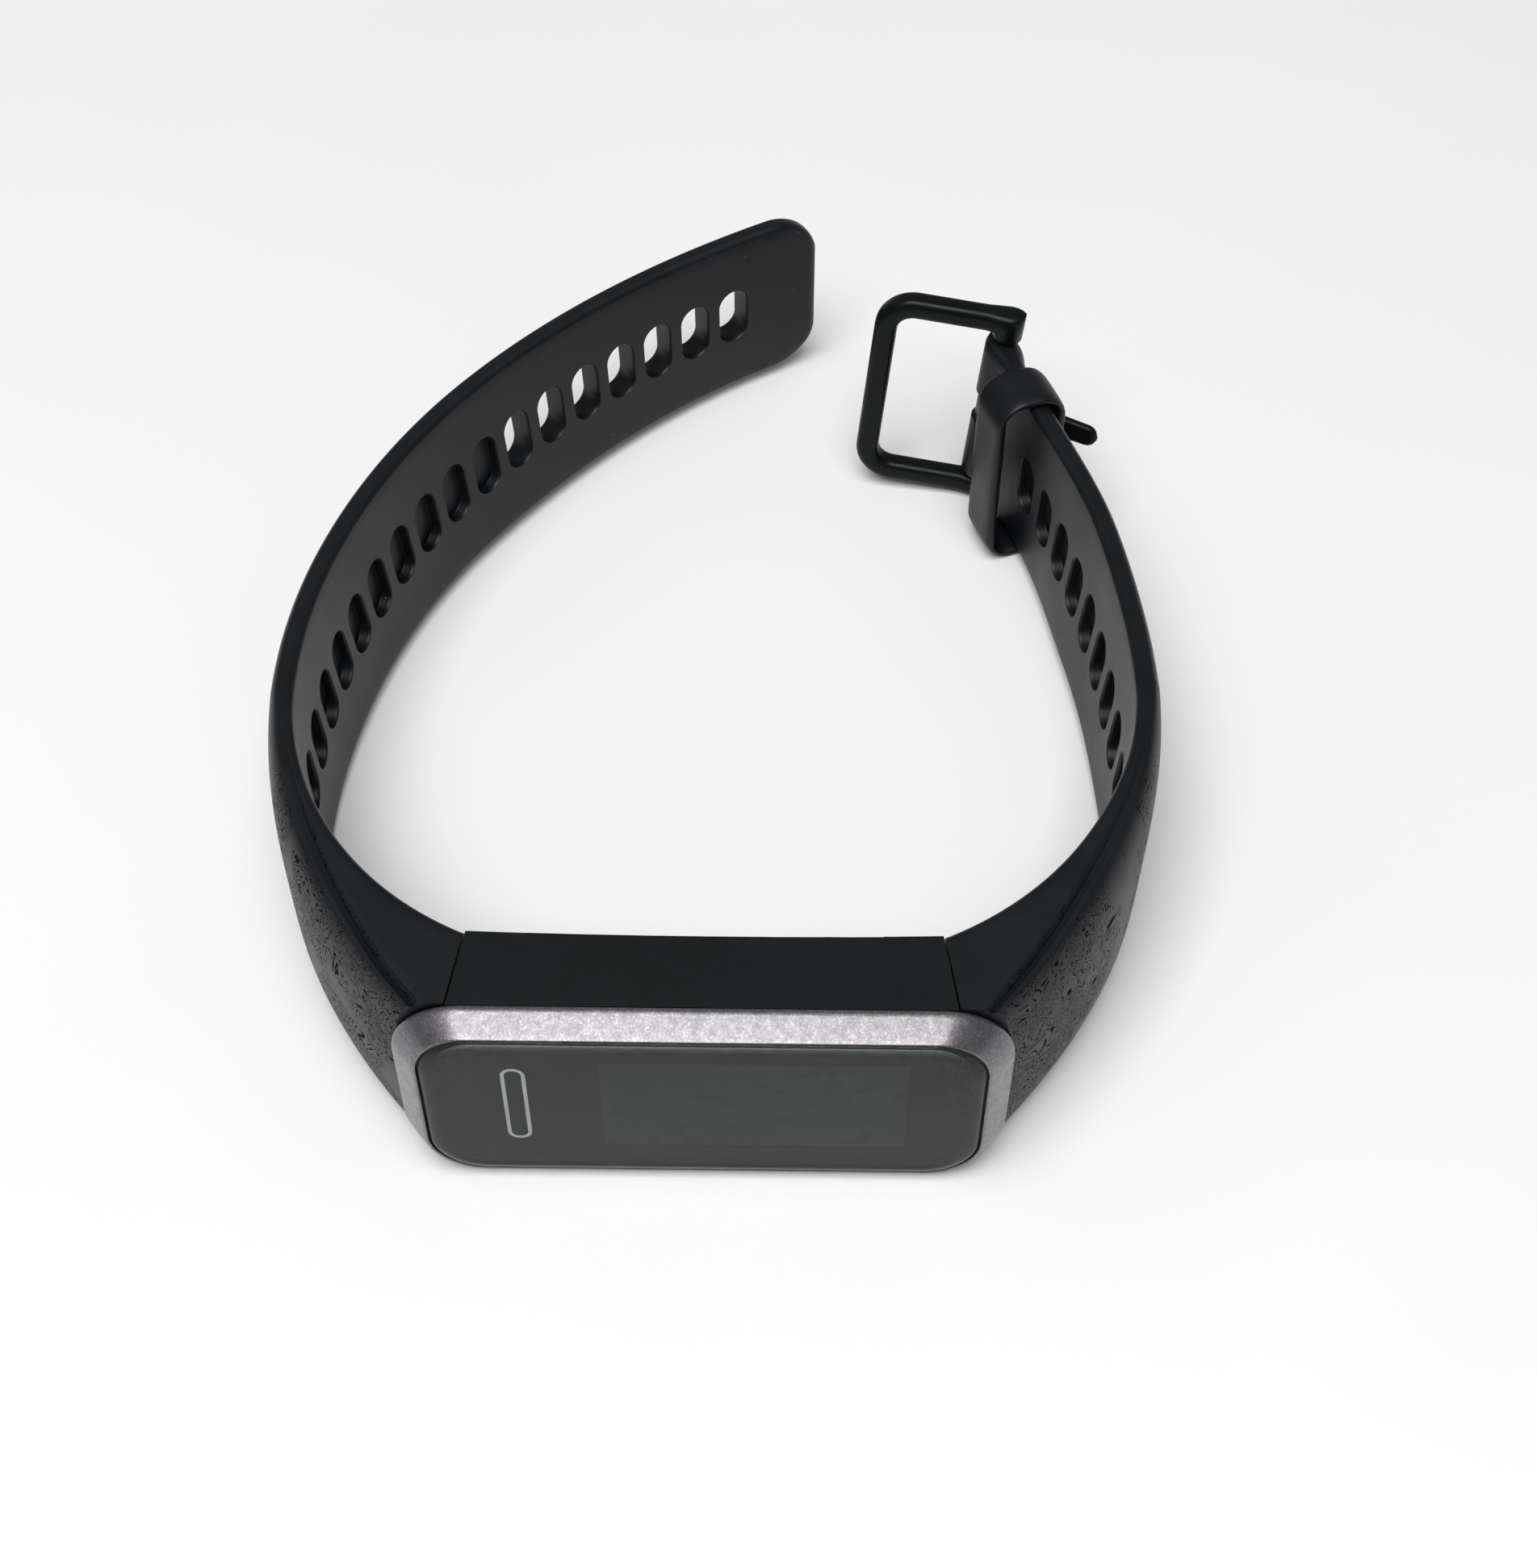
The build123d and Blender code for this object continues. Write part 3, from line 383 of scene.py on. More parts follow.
def smoked_glass():
    """Slightly tinted glass with faint smears."""
    m = Mat("cover_glass_clear")
    smear = m.noise(90, 4, 0.6, 0.8)
    m.colour(m.ramp(smear, [(0.3, (0.60, 0.64, 0.62)), (0.7, (0.70, 0.74, 0.72))]))
    m.bump(smear, 0.000004, 0.1)
    m.set(IOR=1.22, Transmission_Weight=1.0, Roughness=0.0)
    return m.mat


def glossy(name, base, rough, scale, spec=0.5, coat=0.0):
    """Smooth print, film or lacquer."""
    m = Mat(name)
    cloud = m.noise(scale, 3)
    m.colour(m.ramp(cloud, [(0.3, tint(base, 0.85)), (0.7, tint(base, 1.15))]))
    m.roughness(m.span(cloud, 0.3, 0.7, rough * 0.8, rough * 1.3))
    m.bump(m.noise(scale * 6, 2), 0.000003, 0.25)
    m.set(Specular_IOR_Level=spec, Coat_Weight=coat, Coat_Roughness=0.08)
    return m.mat


def board_mask():
    """Green solder mask over a pattern of tracks."""
    m = Mat("solder_mask")
    brick = m.node("ShaderNodeTexBrick", Scale=900.0)
    m.link(m.coords, brick.inputs["Vector"])
    m.colour(m.ramp(brick.outputs["Fac"], [(0.4, (0.012, 0.075, 0.04)), (0.6, (0.03, 0.13, 0.07))]))
    m.roughness(m.span(m.noise(500), 0.3, 0.7, 0.3, 0.45))
    m.bump(brick.outputs["Fac"], 0.00002, 0.4)
    return m.mat


SILICONE = silicone("strap_silicone_visual", (0.0036, 0.0046, 0.0062), etched=True)
SILICONE_PLAIN = silicone("keeper_silicone_visual", (0.0045, 0.0052, 0.0075))
HOUSING = moulded("housing_black", (0.0042, 0.0062, 0.0062), 0.40, 0.50, 6500, 0.000016, 0.22)
BEZEL = bezel_paint()
GLASS = smoked_glass()
INK = glossy("glass_ink", (0.004, 0.0043, 0.0042), 0.6, 300, 0.0)
SILVER = metal("key_silver", (0.78, 0.79, 0.78), 0.28, 0.4, 3000)
SCREEN = glossy("screen_dark", (0.0115, 0.0165, 0.0162), 0.3, 500, 0.06)
BUCKLE = glossy("buckle_black", (0.0028, 0.0048, 0.0046), 0.34, 700, 0.13, 0.05)
STEEL = metal("turned_steel", (0.6, 0.6, 0.62), 0.22, 0.38, 2600)
BRASS = metal("gold_plate", (0.86, 0.62, 0.27), 0.18, 0.3, 2600)
TIN = metal("rolled_tin", (0.7, 0.7, 0.69), 0.3, 0.42, 2200)
COPPER = metal("bare_copper", (0.75, 0.42, 0.24), 0.25, 0.4, 2400)
POUCH = metal("pouch_foil", (0.62, 0.63, 0.66), 0.35, 0.55, 900)
BOARD = board_mask()
CHIP = moulded("chip_epoxy", (0.015, 0.015, 0.016), 0.45, 0.6, 4200)
CORE = moulded("core_nylon", (0.03, 0.03, 0.032), 0.45, 0.6, 3500)
CHASSIS = moulded("chassis_nylon", (0.045, 0.045, 0.05), 0.45, 0.6, 3500)
CERAMIC = moulded("fired_ceramic", (0.78, 0.75, 0.7), 0.35, 0.5, 3800)
WHITE = moulded("white_frame", (0.75, 0.75, 0.72), 0.4, 0.55, 3500)
FILM = glossy("amber_film", (0.5, 0.26, 0.05), 0.3, 900)
FOAM = moulded("black_foam", (0.03, 0.03, 0.03), 0.7, 0.9, 2600, 0.00006, 0.2)
LEDS = glossy("clear_resin", (0.62, 0.78, 0.5), 0.1, 900)
WIRE = glossy("wire_red", (0.5, 0.03, 0.025), 0.4, 900)
WINDOW = glossy("window_black", (0.006, 0.006, 0.008), 0.06, 300, 0.6, 0.5)


def paint(obj, *mats):
    """Give a new piece its materials."""
    obj.data.materials.clear()
    for mat in mats:
        obj.data.materials.append(mat)


def paint_node(name, mat):
    """Give a carried-over CAD node its material."""
    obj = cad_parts[name]
    for i in range(max(1, len(obj.data.materials))):
        if i < len(obj.material_slots):
            obj.material_slots[i].material = mat
        else:
            obj.data.materials.append(mat)


NODE_MATERIALS = {
    "main_housing": HOUSING, "glass_adhesive": FOAM, "touch_key_pad": COPPER, "touch_key_foam": FOAM,
    "display_backlight": WHITE, "display_flex": FILM, "mid_chassis": CHASSIS, "main_board": BOARD,
    "board_screws": STEEL, "board_chips": CHIP, "shield_can": TIN, "antenna": CERAMIC, "battery": POUCH,
    "battery_leads": WIRE, "vibration_motor": STEEL, "bottom_cover": HOUSING, "cover_seal": FOAM,
    "sensor_window": WINDOW, "sensor_board": BOARD, "sensor_leds": LEDS, "sensor_photodiode": CHIP,
    "light_barrier": CHASSIS, "sensor_flex": FILM, "charge_contacts": BRASS, "long_strap_core": CORE,
    "short_strap_core": CORE, "spring_bar_tube": STEEL, "spring_bar_tip_lower": STEEL,
    "spring_bar_tip_upper": STEEL, "spring_bar_coil": STEEL, "display_panel": SCREEN,
    "touch_key_ring": SILVER,
}
for node_name, node_mat in NODE_MATERIALS.items():
    paint_node(node_name, node_mat)


# ------------------------------------------------------------------ strap skins
# A strap's inner face leaves the housing on one side at a heading in degrees, then follows arcs of
# (radius, degrees). The crease is where its flat edge meets the crowned outer face, as (x, y).
LONG = dict(side=-1, heading=155.3, arcs=((25.1, -64.6), (56.0, -36.0), (80.4, -27.97)))
SHORT = dict(side=1, heading=25.8, arcs=((26.3, 65.9), (100.0, 23.0)))
LONG_CREASE = [
    (-19.9, -3.08), (-22.5, 0.2), (-25.0, 4.2), (-27.2, 8.2), (-29.5, 13.4), (-31.4, 19.3), (-32.6, 25.9),
]
SHORT_CREASE = [
    (19.9, -3.08), (22.3, 0.2), (24.7, 3.9), (26.9, 7.8), (29.3, 12.6), (31.6, 19.0), (33.0, 27.5),
]
LONG_TOTAL = arcs_length(LONG["arcs"])
SHORT_TOTAL = arcs_length(SHORT["arcs"])
SECTION_STEP = 0.55                   # between sections along a strap
FAN_STEPS = 64                        # sections along the first arc, where they fan out from the corner
TIP_CORNER, TIP_NOSE, TIP_STEPS = 4.8, 0.95, 28       # rounding of the long strap's free end
FLAT_ROWS, EDGE_ROWS, SIDE_ROWS, LIP_ROWS, CROWN_ROWS = 6, 6, 3, 6, 22    # points across half a section
RING = 40                             # points round a slot or a bore

# Slot cutters: level from the inner face, and how much wider than the slot, flared at each mouth.
SLOT_MOUTH = [(-0.6, 0.12), (0.0, 0.11), (0.1, 0.035), (0.25, 0.0)]
THROUGH_SLOT = SLOT_MOUTH + [(2.15, 0.0), (2.3, 0.035), (2.4, 0.11), (3.2, 0.12)]
BLIND_SLOT = SLOT_MOUTH + [(0.88, 0.0), (0.97, -0.04), (1.0, -0.12)]
LONG_FIRST_SLOT, LONG_SLOTS, LONG_THROUGH = 9.0, 18, 7
SHORT_FIRST_SLOT, SHORT_SLOTS = 9.5, 9


def outward_of(side, heading):
    """Direction from a strap's inner face to its outer face."""
    return direction(heading + (90 if side < 0 else -90))


def strap_point(strap, distance):
    """Inner face point, heading and outward direction at a distance along a strap."""
    start = xy(strap["side"] * (HALF_WRIST + GAP), WRIST_Y)
    point, heading = walk(start, strap["heading"], strap["arcs"], distance)
    return point, heading, outward_of(strap["side"], heading)


SHORT_END, END_HEADING, END_OUT = strap_point(SHORT, SHORT_TOTAL)
BAR = SHORT_END + END_OUT * THICK / 2


def half_width(y):
    """Half the strap's width at a level."""
    return MID - END_NARROWING * smooth((y - 9.0) / 33.0)


def tilted(point, pivot, outward, pivot_z, angle):
    """Point turned about the strap's own direction, so its upper edge moves outwards."""
    c, s = math.cos(math.radians(angle)), math.sin(math.radians(angle))
    flat = xy(point[0], point[1]) - pivot
    w = float(flat @ outward)
    z = point[2] - pivot_z
    moved = xy(point[0], point[1]) + outward * (w * c + z * s - w)
    return (moved[0], moved[1], pivot_z + z * c - w * s)


def on_bar(point):
    """Point on the upright bar moved to the leaning bar."""
    return tilted(point, BAR, END_OUT, FRAME_MID, BAR_LEAN)


def strap_lean(strap, distance):
    """Twist of a strap in degrees, and the height it turns about."""
    if strap["side"] < 0:
        rise, fall = smooth((distance - 14.0) / 30.0), smooth((distance - 62.0) / 38.0)
        return LONG_LEAN * rise * (1 - fall), MID
    left = SHORT_TOTAL - distance
    hump = SHORT_LEAN * smooth((distance - 14.0) / 22.0) * smooth((left - 9.0) / 14.0)
    end = smooth((4.2 - left) / 4.2)
    keeper = KEEPER_LEAN * smooth((distance - 30.0) / 20.0) * (1 - end)
    return keeper + hump + BAR_LEAN * end, lerp(MID, FRAME_MID, end)


def lean_loop(loop, strap, distance):
    """A strap's section twisted by the lean at its distance."""
    angle, pivot_z = strap_lean(strap, distance)
    point, _, outward = strap_point(strap, distance)
    pivot = point + outward * THICK / 2
    return [tilted(q, pivot, outward, pivot_z, angle) for q in loop]


def section(spine, outer, half, mid=MID, edge=0.7, step=0.3, power=2.4, flat=3.0):
    """Closed loop across a strap: inner face, rounded edge, flat side, valley and crowned outer face."""
    legs = [np.hypot(*(b - a)) for a, b in zip(spine, spine[1:])]
    reach = sum(legs)

    def at(distance):
        for leg, a, b in zip(legs, spine, spine[1:]):
            if distance <= leg:
                return lerp(a, b, distance / max(leg, 1e-9))
            distance -= leg
        return spine[-1]

    edge = min(edge, reach * 0.6, half * 0.5)      # rounding between the inner face and the side
    lip = min(0.62, reach * 0.3)                   # rounding between the side and the outer face
    rows = [(spine[0], (half - edge) * k / (FLAT_ROWS - 0.5)) for k in range(FLAT_ROWS)]
    for k in range(1, EDGE_ROWS + 1):
        a = math.pi / 2 * k / EDGE_ROWS
        rows.append((at(edge * (1 - math.cos(a))), half - edge + edge * math.sin(a)))
    bend = legs[0] if len(legs) > 1 else (edge + reach - lip) / 2
    for low, high in ((edge, bend), (bend, reach - lip)):
        for k in range(1, SIDE_ROWS + 1):
            rows.append((at(lerp(low, high, k / SIDE_ROWS)), half))
    for k in range(1, LIP_ROWS + 1):
        t = k / LIP_ROWS
        rows.append((at(reach - lip + lip * t), half - step * (0.75 * t * t + 0.25 * smooth(t))))
    for k in range(1, CROWN_ROWS + 1):
        a = math.pi / 2 * (1 - (k / CROWN_ROWS) ** 1.25)
        x = math.cos(a) ** (2 / power)
        z = math.sin(a) ** (2 / flat) if a > 1e-9 else 0.0
        top = half - step * (1 - 0.62 * smooth(x / 0.30))
        rows.append((lerp(spine[-1], outer, x), top * z))
    loop = [(p[0], p[1], mid + z) for p, z in rows]
    return loop + [(p[0], p[1], mid - z) for p, z in reversed(rows[1:-1])]


def folded_cap(loop):
    """Faces over a first section that folds round the housing's corner."""
    n = len(loop) // 2
    m = len(loop)
    first = list(range(FLAT_ROWS + 1)) + [m - k for k in range(FLAT_ROWS, 0, -1)]
    faces = [tuple(first)]
    for k in range(FLAT_ROWS, n - 1):
        faces.append((k, k + 1, m - k - 1, m - k))
    faces.append((n - 1, n, n + 1))
    return faces


def strap_stations(strap, crease_pts, end):
    """Spine and outer plan points along a strap up to a length."""
    side, (radius, angle) = strap["side"], strap["arcs"][0]
    first = radius * math.radians(abs(angle))
    creases = through(crease_pts, FAN_STEPS + 1)
    join, _, n = strap_point(strap, first)
    thick_point = join + n * THICK
    root = xy(side * (BEZEL_HALF - GAP), SPLIT_Y + GAP)
    # The outer root line is the arc that ends at the thick point along the strap's own direction.
    d = root - thick_point
    radius = (d @ d) / (2 * -(d @ n))
    centre = thick_point - n * radius
    a_end = math.atan2(*(thick_point - centre)[::-1])
    a_root = math.atan2(*(root - centre)[::-1])
    while a_root - a_end > math.pi:
        a_root -= 2 * math.pi
    while a_root - a_end < -math.pi:
        a_root += 2 * math.pi
    corner = xy(side * (HALF_TOP + GAP), SPLIT_Y + GAP)
    out = []
    for k in range(FAN_STEPS + 1):
        u = k / FAN_STEPS
        p = strap_point(strap, first * u)[0]
        a = lerp(a_root, a_end, u)
        o = centre + radius * xy(math.cos(a), math.sin(a))
        spine = [p, creases[k]] if k else [p, corner, creases[k]]
        out.append((first * u, spine, o))
    s = first
    while s < end - 1e-6:
        s = min(end, s + SECTION_STEP)
        p, _, nn = strap_point(strap, s)
        out.append((s, [p, p + nn * FACE], p + nn * THICK))
    return out


def soft_step(s):
    """Valley depth, crown power and edge flatness of the outer face at a distance."""
    return lerp(0.55, 0.04, smooth((s - 4.0) / 26.0)), 2.2, lerp(2.4, 5.5, smooth(s / 36.0))


def strap_skin(name, loops):
    """Skin over the strap sections with a folded cap at the housing."""
    m = len(loops[0])
    verts = [p for loop in loops for p in loop]
    faces = folded_cap(loops[0])
    for i in range(len(loops) - 1):
        for k in range(m):
            l = (k + 1) % m
            faces.append((i * m + k, i * m + l, (i + 1) * m + l, (i + 1) * m + k))
    faces.append(tuple((len(loops) - 1) * m + k for k in range(m)))
    return build(name, verts, faces)


def slot_cutters(name, strap, first, count, through_count):
    """Stadium cutters counted back from the strap's end: the first ones go through, the rest are blind."""
    total = arcs_length(strap["arcs"])
    straight = (SLOT_LENGTH - SLOT_WIDTH) / 2
    verts, faces = [], []
    for index in range(count):
        s = total - first - index * SLOT_PITCH
        p, h, outward = strap_point(strap, s)
        along = direction(h)
        levels = THROUGH_SLOT if index < through_count else BLIND_SLOT
        base = len(verts)
        loop = []
        for level, grow in levels:
            r = SLOT_WIDTH / 2 + grow
            for k in range(RING):
                a = 2 * math.pi * (k + 0.5) / RING
                z = r * math.sin(a) + math.copysign(straight, math.sin(a))
                q = p + along * r * math.cos(a) + outward * level
                loop.append((q[0], q[1], MID + z))
        verts += lean_loop(loop, strap, s)
        for i in range(len(levels) - 1):
            low, high = base + i * RING, base + (i + 1) * RING
            for k in range(RING):
                l = (k + 1) % RING
                faces.append((low + k, low + l, high + l, high + k))
        faces.append(tuple(base + k for k in range(RING)))
        faces.append(tuple(base + (len(levels) - 1) * RING + k for k in range(RING)))
    return build(name, verts, faces)


def core_block(name, side):
    """Where the stiff socket sits in the strap's root, from just inside the gap to beyond the tongue."""
    def near(y):
        half = lerp(HALF_TOP, HALF_WRIST, (y - SPLIT_Y) / (WRIST_Y - SPLIT_Y))
        return half + GAP - 0.5

    low, high, far, half_breadth = -1.9, 2.5, TONGUE_TIP + 0.9, 5.9
    plan = [(side * near(low), low), (side * far, low), (side * far, high), (side * near(high), high)]
    verts = [(x, y, z) for z in (MID - half_breadth, MID + half_breadth) for x, y in plan]
    faces = [(0, 1, 2, 3), (4, 5, 6, 7)] + [(i, (i + 1) % 4, 4 + (i + 1) % 4, 4 + i) for i in range(4)]
    return build(name, verts, faces)


def bar_ring(radius, z, count=RING):
    """Ring of points round the leaning spring bar."""
    turn = [2 * math.pi * k / count for k in range(count)]
    return [on_bar((BAR[0] + radius * math.cos(t), BAR[1] + radius * math.sin(t), z)) for t in turn]


def bar_bore(name, radius, low, high, count=RING):
    """Round cutter along the leaning spring bar."""
    return rings(name, [bar_ring(radius, z, count) for z in (low, high)])


def squircle(angle, power_c=3.0, power_s=3.0):
    """Point of a rounded square of half size 1; higher powers are squarer."""
    c, s = math.cos(angle), math.sin(angle)
    return math.copysign(abs(c) ** (2 / power_c), c), math.copysign(abs(s) ** (2 / power_s), s)


def make_long_strap():
    stations = strap_stations(LONG, LONG_CREASE, LONG_TOTAL - TIP_CORNER)
    for i in range(1, TIP_STEPS + 1):
        s = LONG_TOTAL - TIP_CORNER * math.cos(math.pi / 2 * i / TIP_STEPS)
        p, _, nn = strap_point(LONG, s)
        stations.append((s, [p, p + nn * FACE], p + nn * THICK))
    loops = []
    for s, spine, outer in stations:
        left = LONG_TOTAL - s
        half = half_width(spine[0][1])
        if left < TIP_CORNER:
            half -= TIP_CORNER - math.sqrt(max(0.0, TIP_CORNER ** 2 - (TIP_CORNER - left) ** 2))
        edge = 0.8
        if left < TIP_NOSE:
            shrink = TIP_NOSE - math.sqrt(max(0.0, TIP_NOSE ** 2 - (TIP_NOSE - left) ** 2))
            n = (outer - spine[0]) / np.hypot(*(outer - spine[0]))
            inner, outer = spine[0] + n * shrink, outer - n * shrink * 1.05
            spine = [inner, lerp(inner, outer, 0.48)]
            half -= shrink * 0.2
            edge = 0.7 * (1 - shrink / TIP_NOSE) + 0.1
        step, power, flat = soft_step(s)
        loop = section(spine, outer, half, edge=edge, step=step, power=power, flat=flat)
        loops.append(lean_loop(loop, LONG, s))
    obj = strap_skin("long_strap_skin", loops)
    cut(obj, core_block("cut_core", -1))
    cut(obj, slot_cutters("cut_slots", LONG, LONG_FIRST_SLOT, LONG_SLOTS, LONG_THROUGH))
    return obj


def make_short_strap():
    back = 5.2            # where the strap starts to change into the lug
    loops = []
    for s, spine, outer in strap_stations(SHORT, SHORT_CREASE, SHORT_TOTAL - back):
        step, power, flat = soft_step(s)
        loop = section(spine, outer, half_width(spine[0][1]), step=step, power=power, flat=flat)
        loops.append(lean_loop(loop, SHORT, s))
    ahead = direction(END_HEADING)
    steps = [-back + 0.4 * k for k in range(1, 13)]
    steps += [LUG_RADIUS * math.sin(math.pi / 2 * k / 12) for k in range(13)]
    for x in steps:
        if x <= 0:
            p0, _, n0 = strap_point(SHORT, SHORT_TOTAL + x)
            m = p0 + n0 * THICK / 2
            tall = lerp(THICK / 2, LUG_RADIUS, smooth((x + 3.2) / 3.0))
        else:
            m, n0 = BAR + ahead * x, END_OUT
            tall = math.sqrt(max(0.02, LUG_RADIUS ** 2 - x ** 2))
        narrow = smooth((x + 2.6) / 0.9)
        half = lerp(8.3, (LUG_HIGH - LUG_LOW) / 2, narrow)
        mid = lerp(MID, (LUG_HIGH + LUG_LOW) / 2, narrow)
        p, o = m - n0 * tall, m + n0 * tall
        edge = min(0.6, tall * 0.7)
        loop = section([p, lerp(p, o, 0.47)], o, half, mid=mid, edge=edge, step=0.04, power=2.2, flat=7)
        loops.append(lean_loop(loop, SHORT, SHORT_TOTAL + min(x, 0)))
    obj = strap_skin("short_strap_skin", loops)
    cut(obj, core_block("cut_core", 1))
    cut(obj, slot_cutters("cut_slots", SHORT, SHORT_FIRST_SLOT, SHORT_SLOTS, 0))
    # Slot for the tang.
    notch = []
    for x in (-3.3, 3.5):
        for z in (-1.5, 1.5):
            for w in (-4.0, 4.0):
                q = BAR + ahead * x + END_OUT * w
                notch.append(on_bar((q[0], q[1], FRAME_MID + z)))
    sides = [(0, 1, 3, 2), (4, 5, 7, 6), (0, 1, 5, 4), (2, 3, 7, 6), (0, 2, 6, 4), (1, 3, 7, 5)]
    cut(obj, build("cut_notch", notch, sides))
    cut(obj, bar_bore("cut_bore", LUG_BORE, 1.0, 19.0))
    return obj


long_skin = make_long_strap()
shade(long_skin, 30)
paint(long_skin, SILICONE)
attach(long_skin, "long_strap")
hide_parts("long_strap")

short_skin = make_short_strap()
shade(short_skin, 30)
paint(short_skin, SILICONE)
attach(short_skin, "short_strap")
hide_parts("short_strap")


# ------------------------------------------------------------------ bezel and glass
def stack(name, profile, **kw):
    """Skin over rounded rectangles: (level, half length, half breadth, corner)."""
    return rings(name, [[(x, y, MID + z) for x, z in rounded_rect(a, b, r)] for y, a, b, r in profile], **kw)


# From the split up the outside, over the rim and down the glass seat to the opening.
bezel_profile = [
    (-3.20, 21.78, 9.13, 5.10), (-3.23, 21.86, 9.21, 5.17), (-3.30, 21.90, 9.25, 5.20),
    (-3.50, 21.90, 9.25, 5.20), (-3.62, 21.86, 9.235, 5.16), (-3.80, 21.74, 9.19, 5.06),
    (-4.60, 21.10, 8.93, 4.62), (-5.20, 20.60, 8.73, 4.30), (-5.46, 20.36, 8.64, 4.16),
    (-5.58, 20.24, 8.59, 4.08), (-5.64, 20.14, 8.545, 4.03), (-5.65, 20.07, 8.51, 4.0),
    (-5.60, 20.00, 8.45, 4.0), (-5.40, 19.97, 8.42, 4.0), (-5.06, 19.97, 8.42, 4.0),
    (-5.05, 18.75, 7.2, 2.7), (-3.90, 18.75, 7.2, 2.7), (-3.89, 16.5, 7.2, 0.6), (-3.20, 16.5, 7.2, 0.6),
]
bezel = stack("bezel_frame", bezel_profile, closed=True)
shade(bezel, 40)
paint(bezel, BEZEL, CHIP)
# Inside the rim's rounded rectangle the bare metal shows instead of the paint.
SEAT_HALF_X, SEAT_HALF_Z, SEAT_CORNER, SEAT_TOP = 20.03, 8.48, 4.0, -5.60
for face in bezel.data.polygons:
    x, y, z = face.center / MM
    beyond_x = abs(x) - SEAT_HALF_X + SEAT_CORNER
    beyond_z = abs(z - MID) - SEAT_HALF_Z + SEAT_CORNER
    beyond = math.hypot(max(beyond_x, 0.0), max(beyond_z, 0.0)) + min(max(beyond_x, beyond_z), 0.0)
    if beyond < SEAT_CORNER and y > SEAT_TOP:
        face.material_index = 1
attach(bezel, "tracker")
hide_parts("bezel")

GLASS_HALF_X, GLASS_HALF_Z, GLASS_CORNER = 19.85, 8.30, 3.9
GLASS_BACK, GLASS_SHOULDER, GLASS_BULGE = -5.02, -5.45, 0.55
glass_profile = [
    (GLASS_BACK, GLASS_HALF_X - 0.05, GLASS_HALF_Z - 0.05, GLASS_CORNER - 0.05),
    (GLASS_BACK, GLASS_HALF_X, GLASS_HALF_Z, GLASS_CORNER),
    (GLASS_SHOULDER, GLASS_HALF_X, GLASS_HALF_Z, GLASS_CORNER),
]
for k in range(1, 13):
    a = math.pi / 2 * k / 12
    inset = 1 - math.cos(a)
    level = GLASS_SHOULDER - GLASS_BULGE * math.sin(a)
    corner = GLASS_CORNER - inset * 0.55
    glass_profile.append((level, GLASS_HALF_X - inset, GLASS_HALF_Z - inset, corner))
glass = stack("glass_front", glass_profile)
shade(glass, 50)
paint(glass, GLASS)
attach(glass, "tracker")
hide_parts("cover_glass")


def flat_plate(name, level, outline, holes, thick):
    """Thin plate facing the glass, with holes, given as loops of (x, z)."""
    bm = bmesh.new()
    edges = []
    for loop in [outline] + holes:
        vs = [bm.verts.new((x * MM, level * MM, z * MM)) for x, z in loop]
        for i in range(len(vs)):
            edges.append(bm.edges.new((vs[i], vs[(i + 1) % len(vs)])))
    bmesh.ops.triangle_fill(bm, use_beauty=True, edges=edges)
    geo = bmesh.ops.extrude_face_region(bm, geom=bm.faces[:])
    moved = [g for g in geo["geom"] if isinstance(g, bmesh.types.BMVert)]
    bmesh.ops.translate(bm, verts=moved, vec=(0, thick * MM, 0))
    bmesh.ops.recalc_face_normals(bm, faces=bm.faces)
    mesh = bpy.data.meshes.new(name)
    bm.to_mesh(mesh)
    bm.free()
    return new_object(name, mesh)


def shift(loop, dx):
    """A loop round the origin moved along the glass, at the band's middle."""
    return [(x + dx, z + MID) for x, z in loop]


DISPLAY_X, KEY_X = 3.6, -13.3
PRINT_LEVEL, PRINT_THICK = -5.009, 0.04
KEY_LEVEL, KEY_THICK = -5.017, 0.007
window = shift(rounded_rect(10.85, 5.425, 0.15, 4), DISPLAY_X)
key_loop = shift(rounded_rect(0.875, 4.6, 0.874, 12), KEY_X)
key_hole = shift(rounded_rect(0.6, 4.325, 0.599, 12), KEY_X)
print_loop = shift(rounded_rect(19.78, 8.23, 3.83), 0)
ink = flat_plate("glass_print", PRINT_LEVEL, print_loop, [window], PRINT_THICK)
paint(ink, INK)
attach(ink, "tracker")
key = flat_plate("touch_key_line", KEY_LEVEL, key_loop, [key_hole], KEY_THICK)
paint(key, SILVER)
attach(key, "tracker")
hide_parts("touch_key_ring")


# ------------------------------------------------------------------ keeper loop
KEEPER_HALF, KEEPER_LENGTH, KEEPER_OPENING = 9.2, 4.6, 4.45
KEEPER_WALL, KEEPER_SIDE = 1.1, 0.85
KEEPER_ROUND, KEEPER_ROUND_INSIDE = 2.9, 1.0
KEEPER_BACK = 4.3         # from the spring bar to the keeper


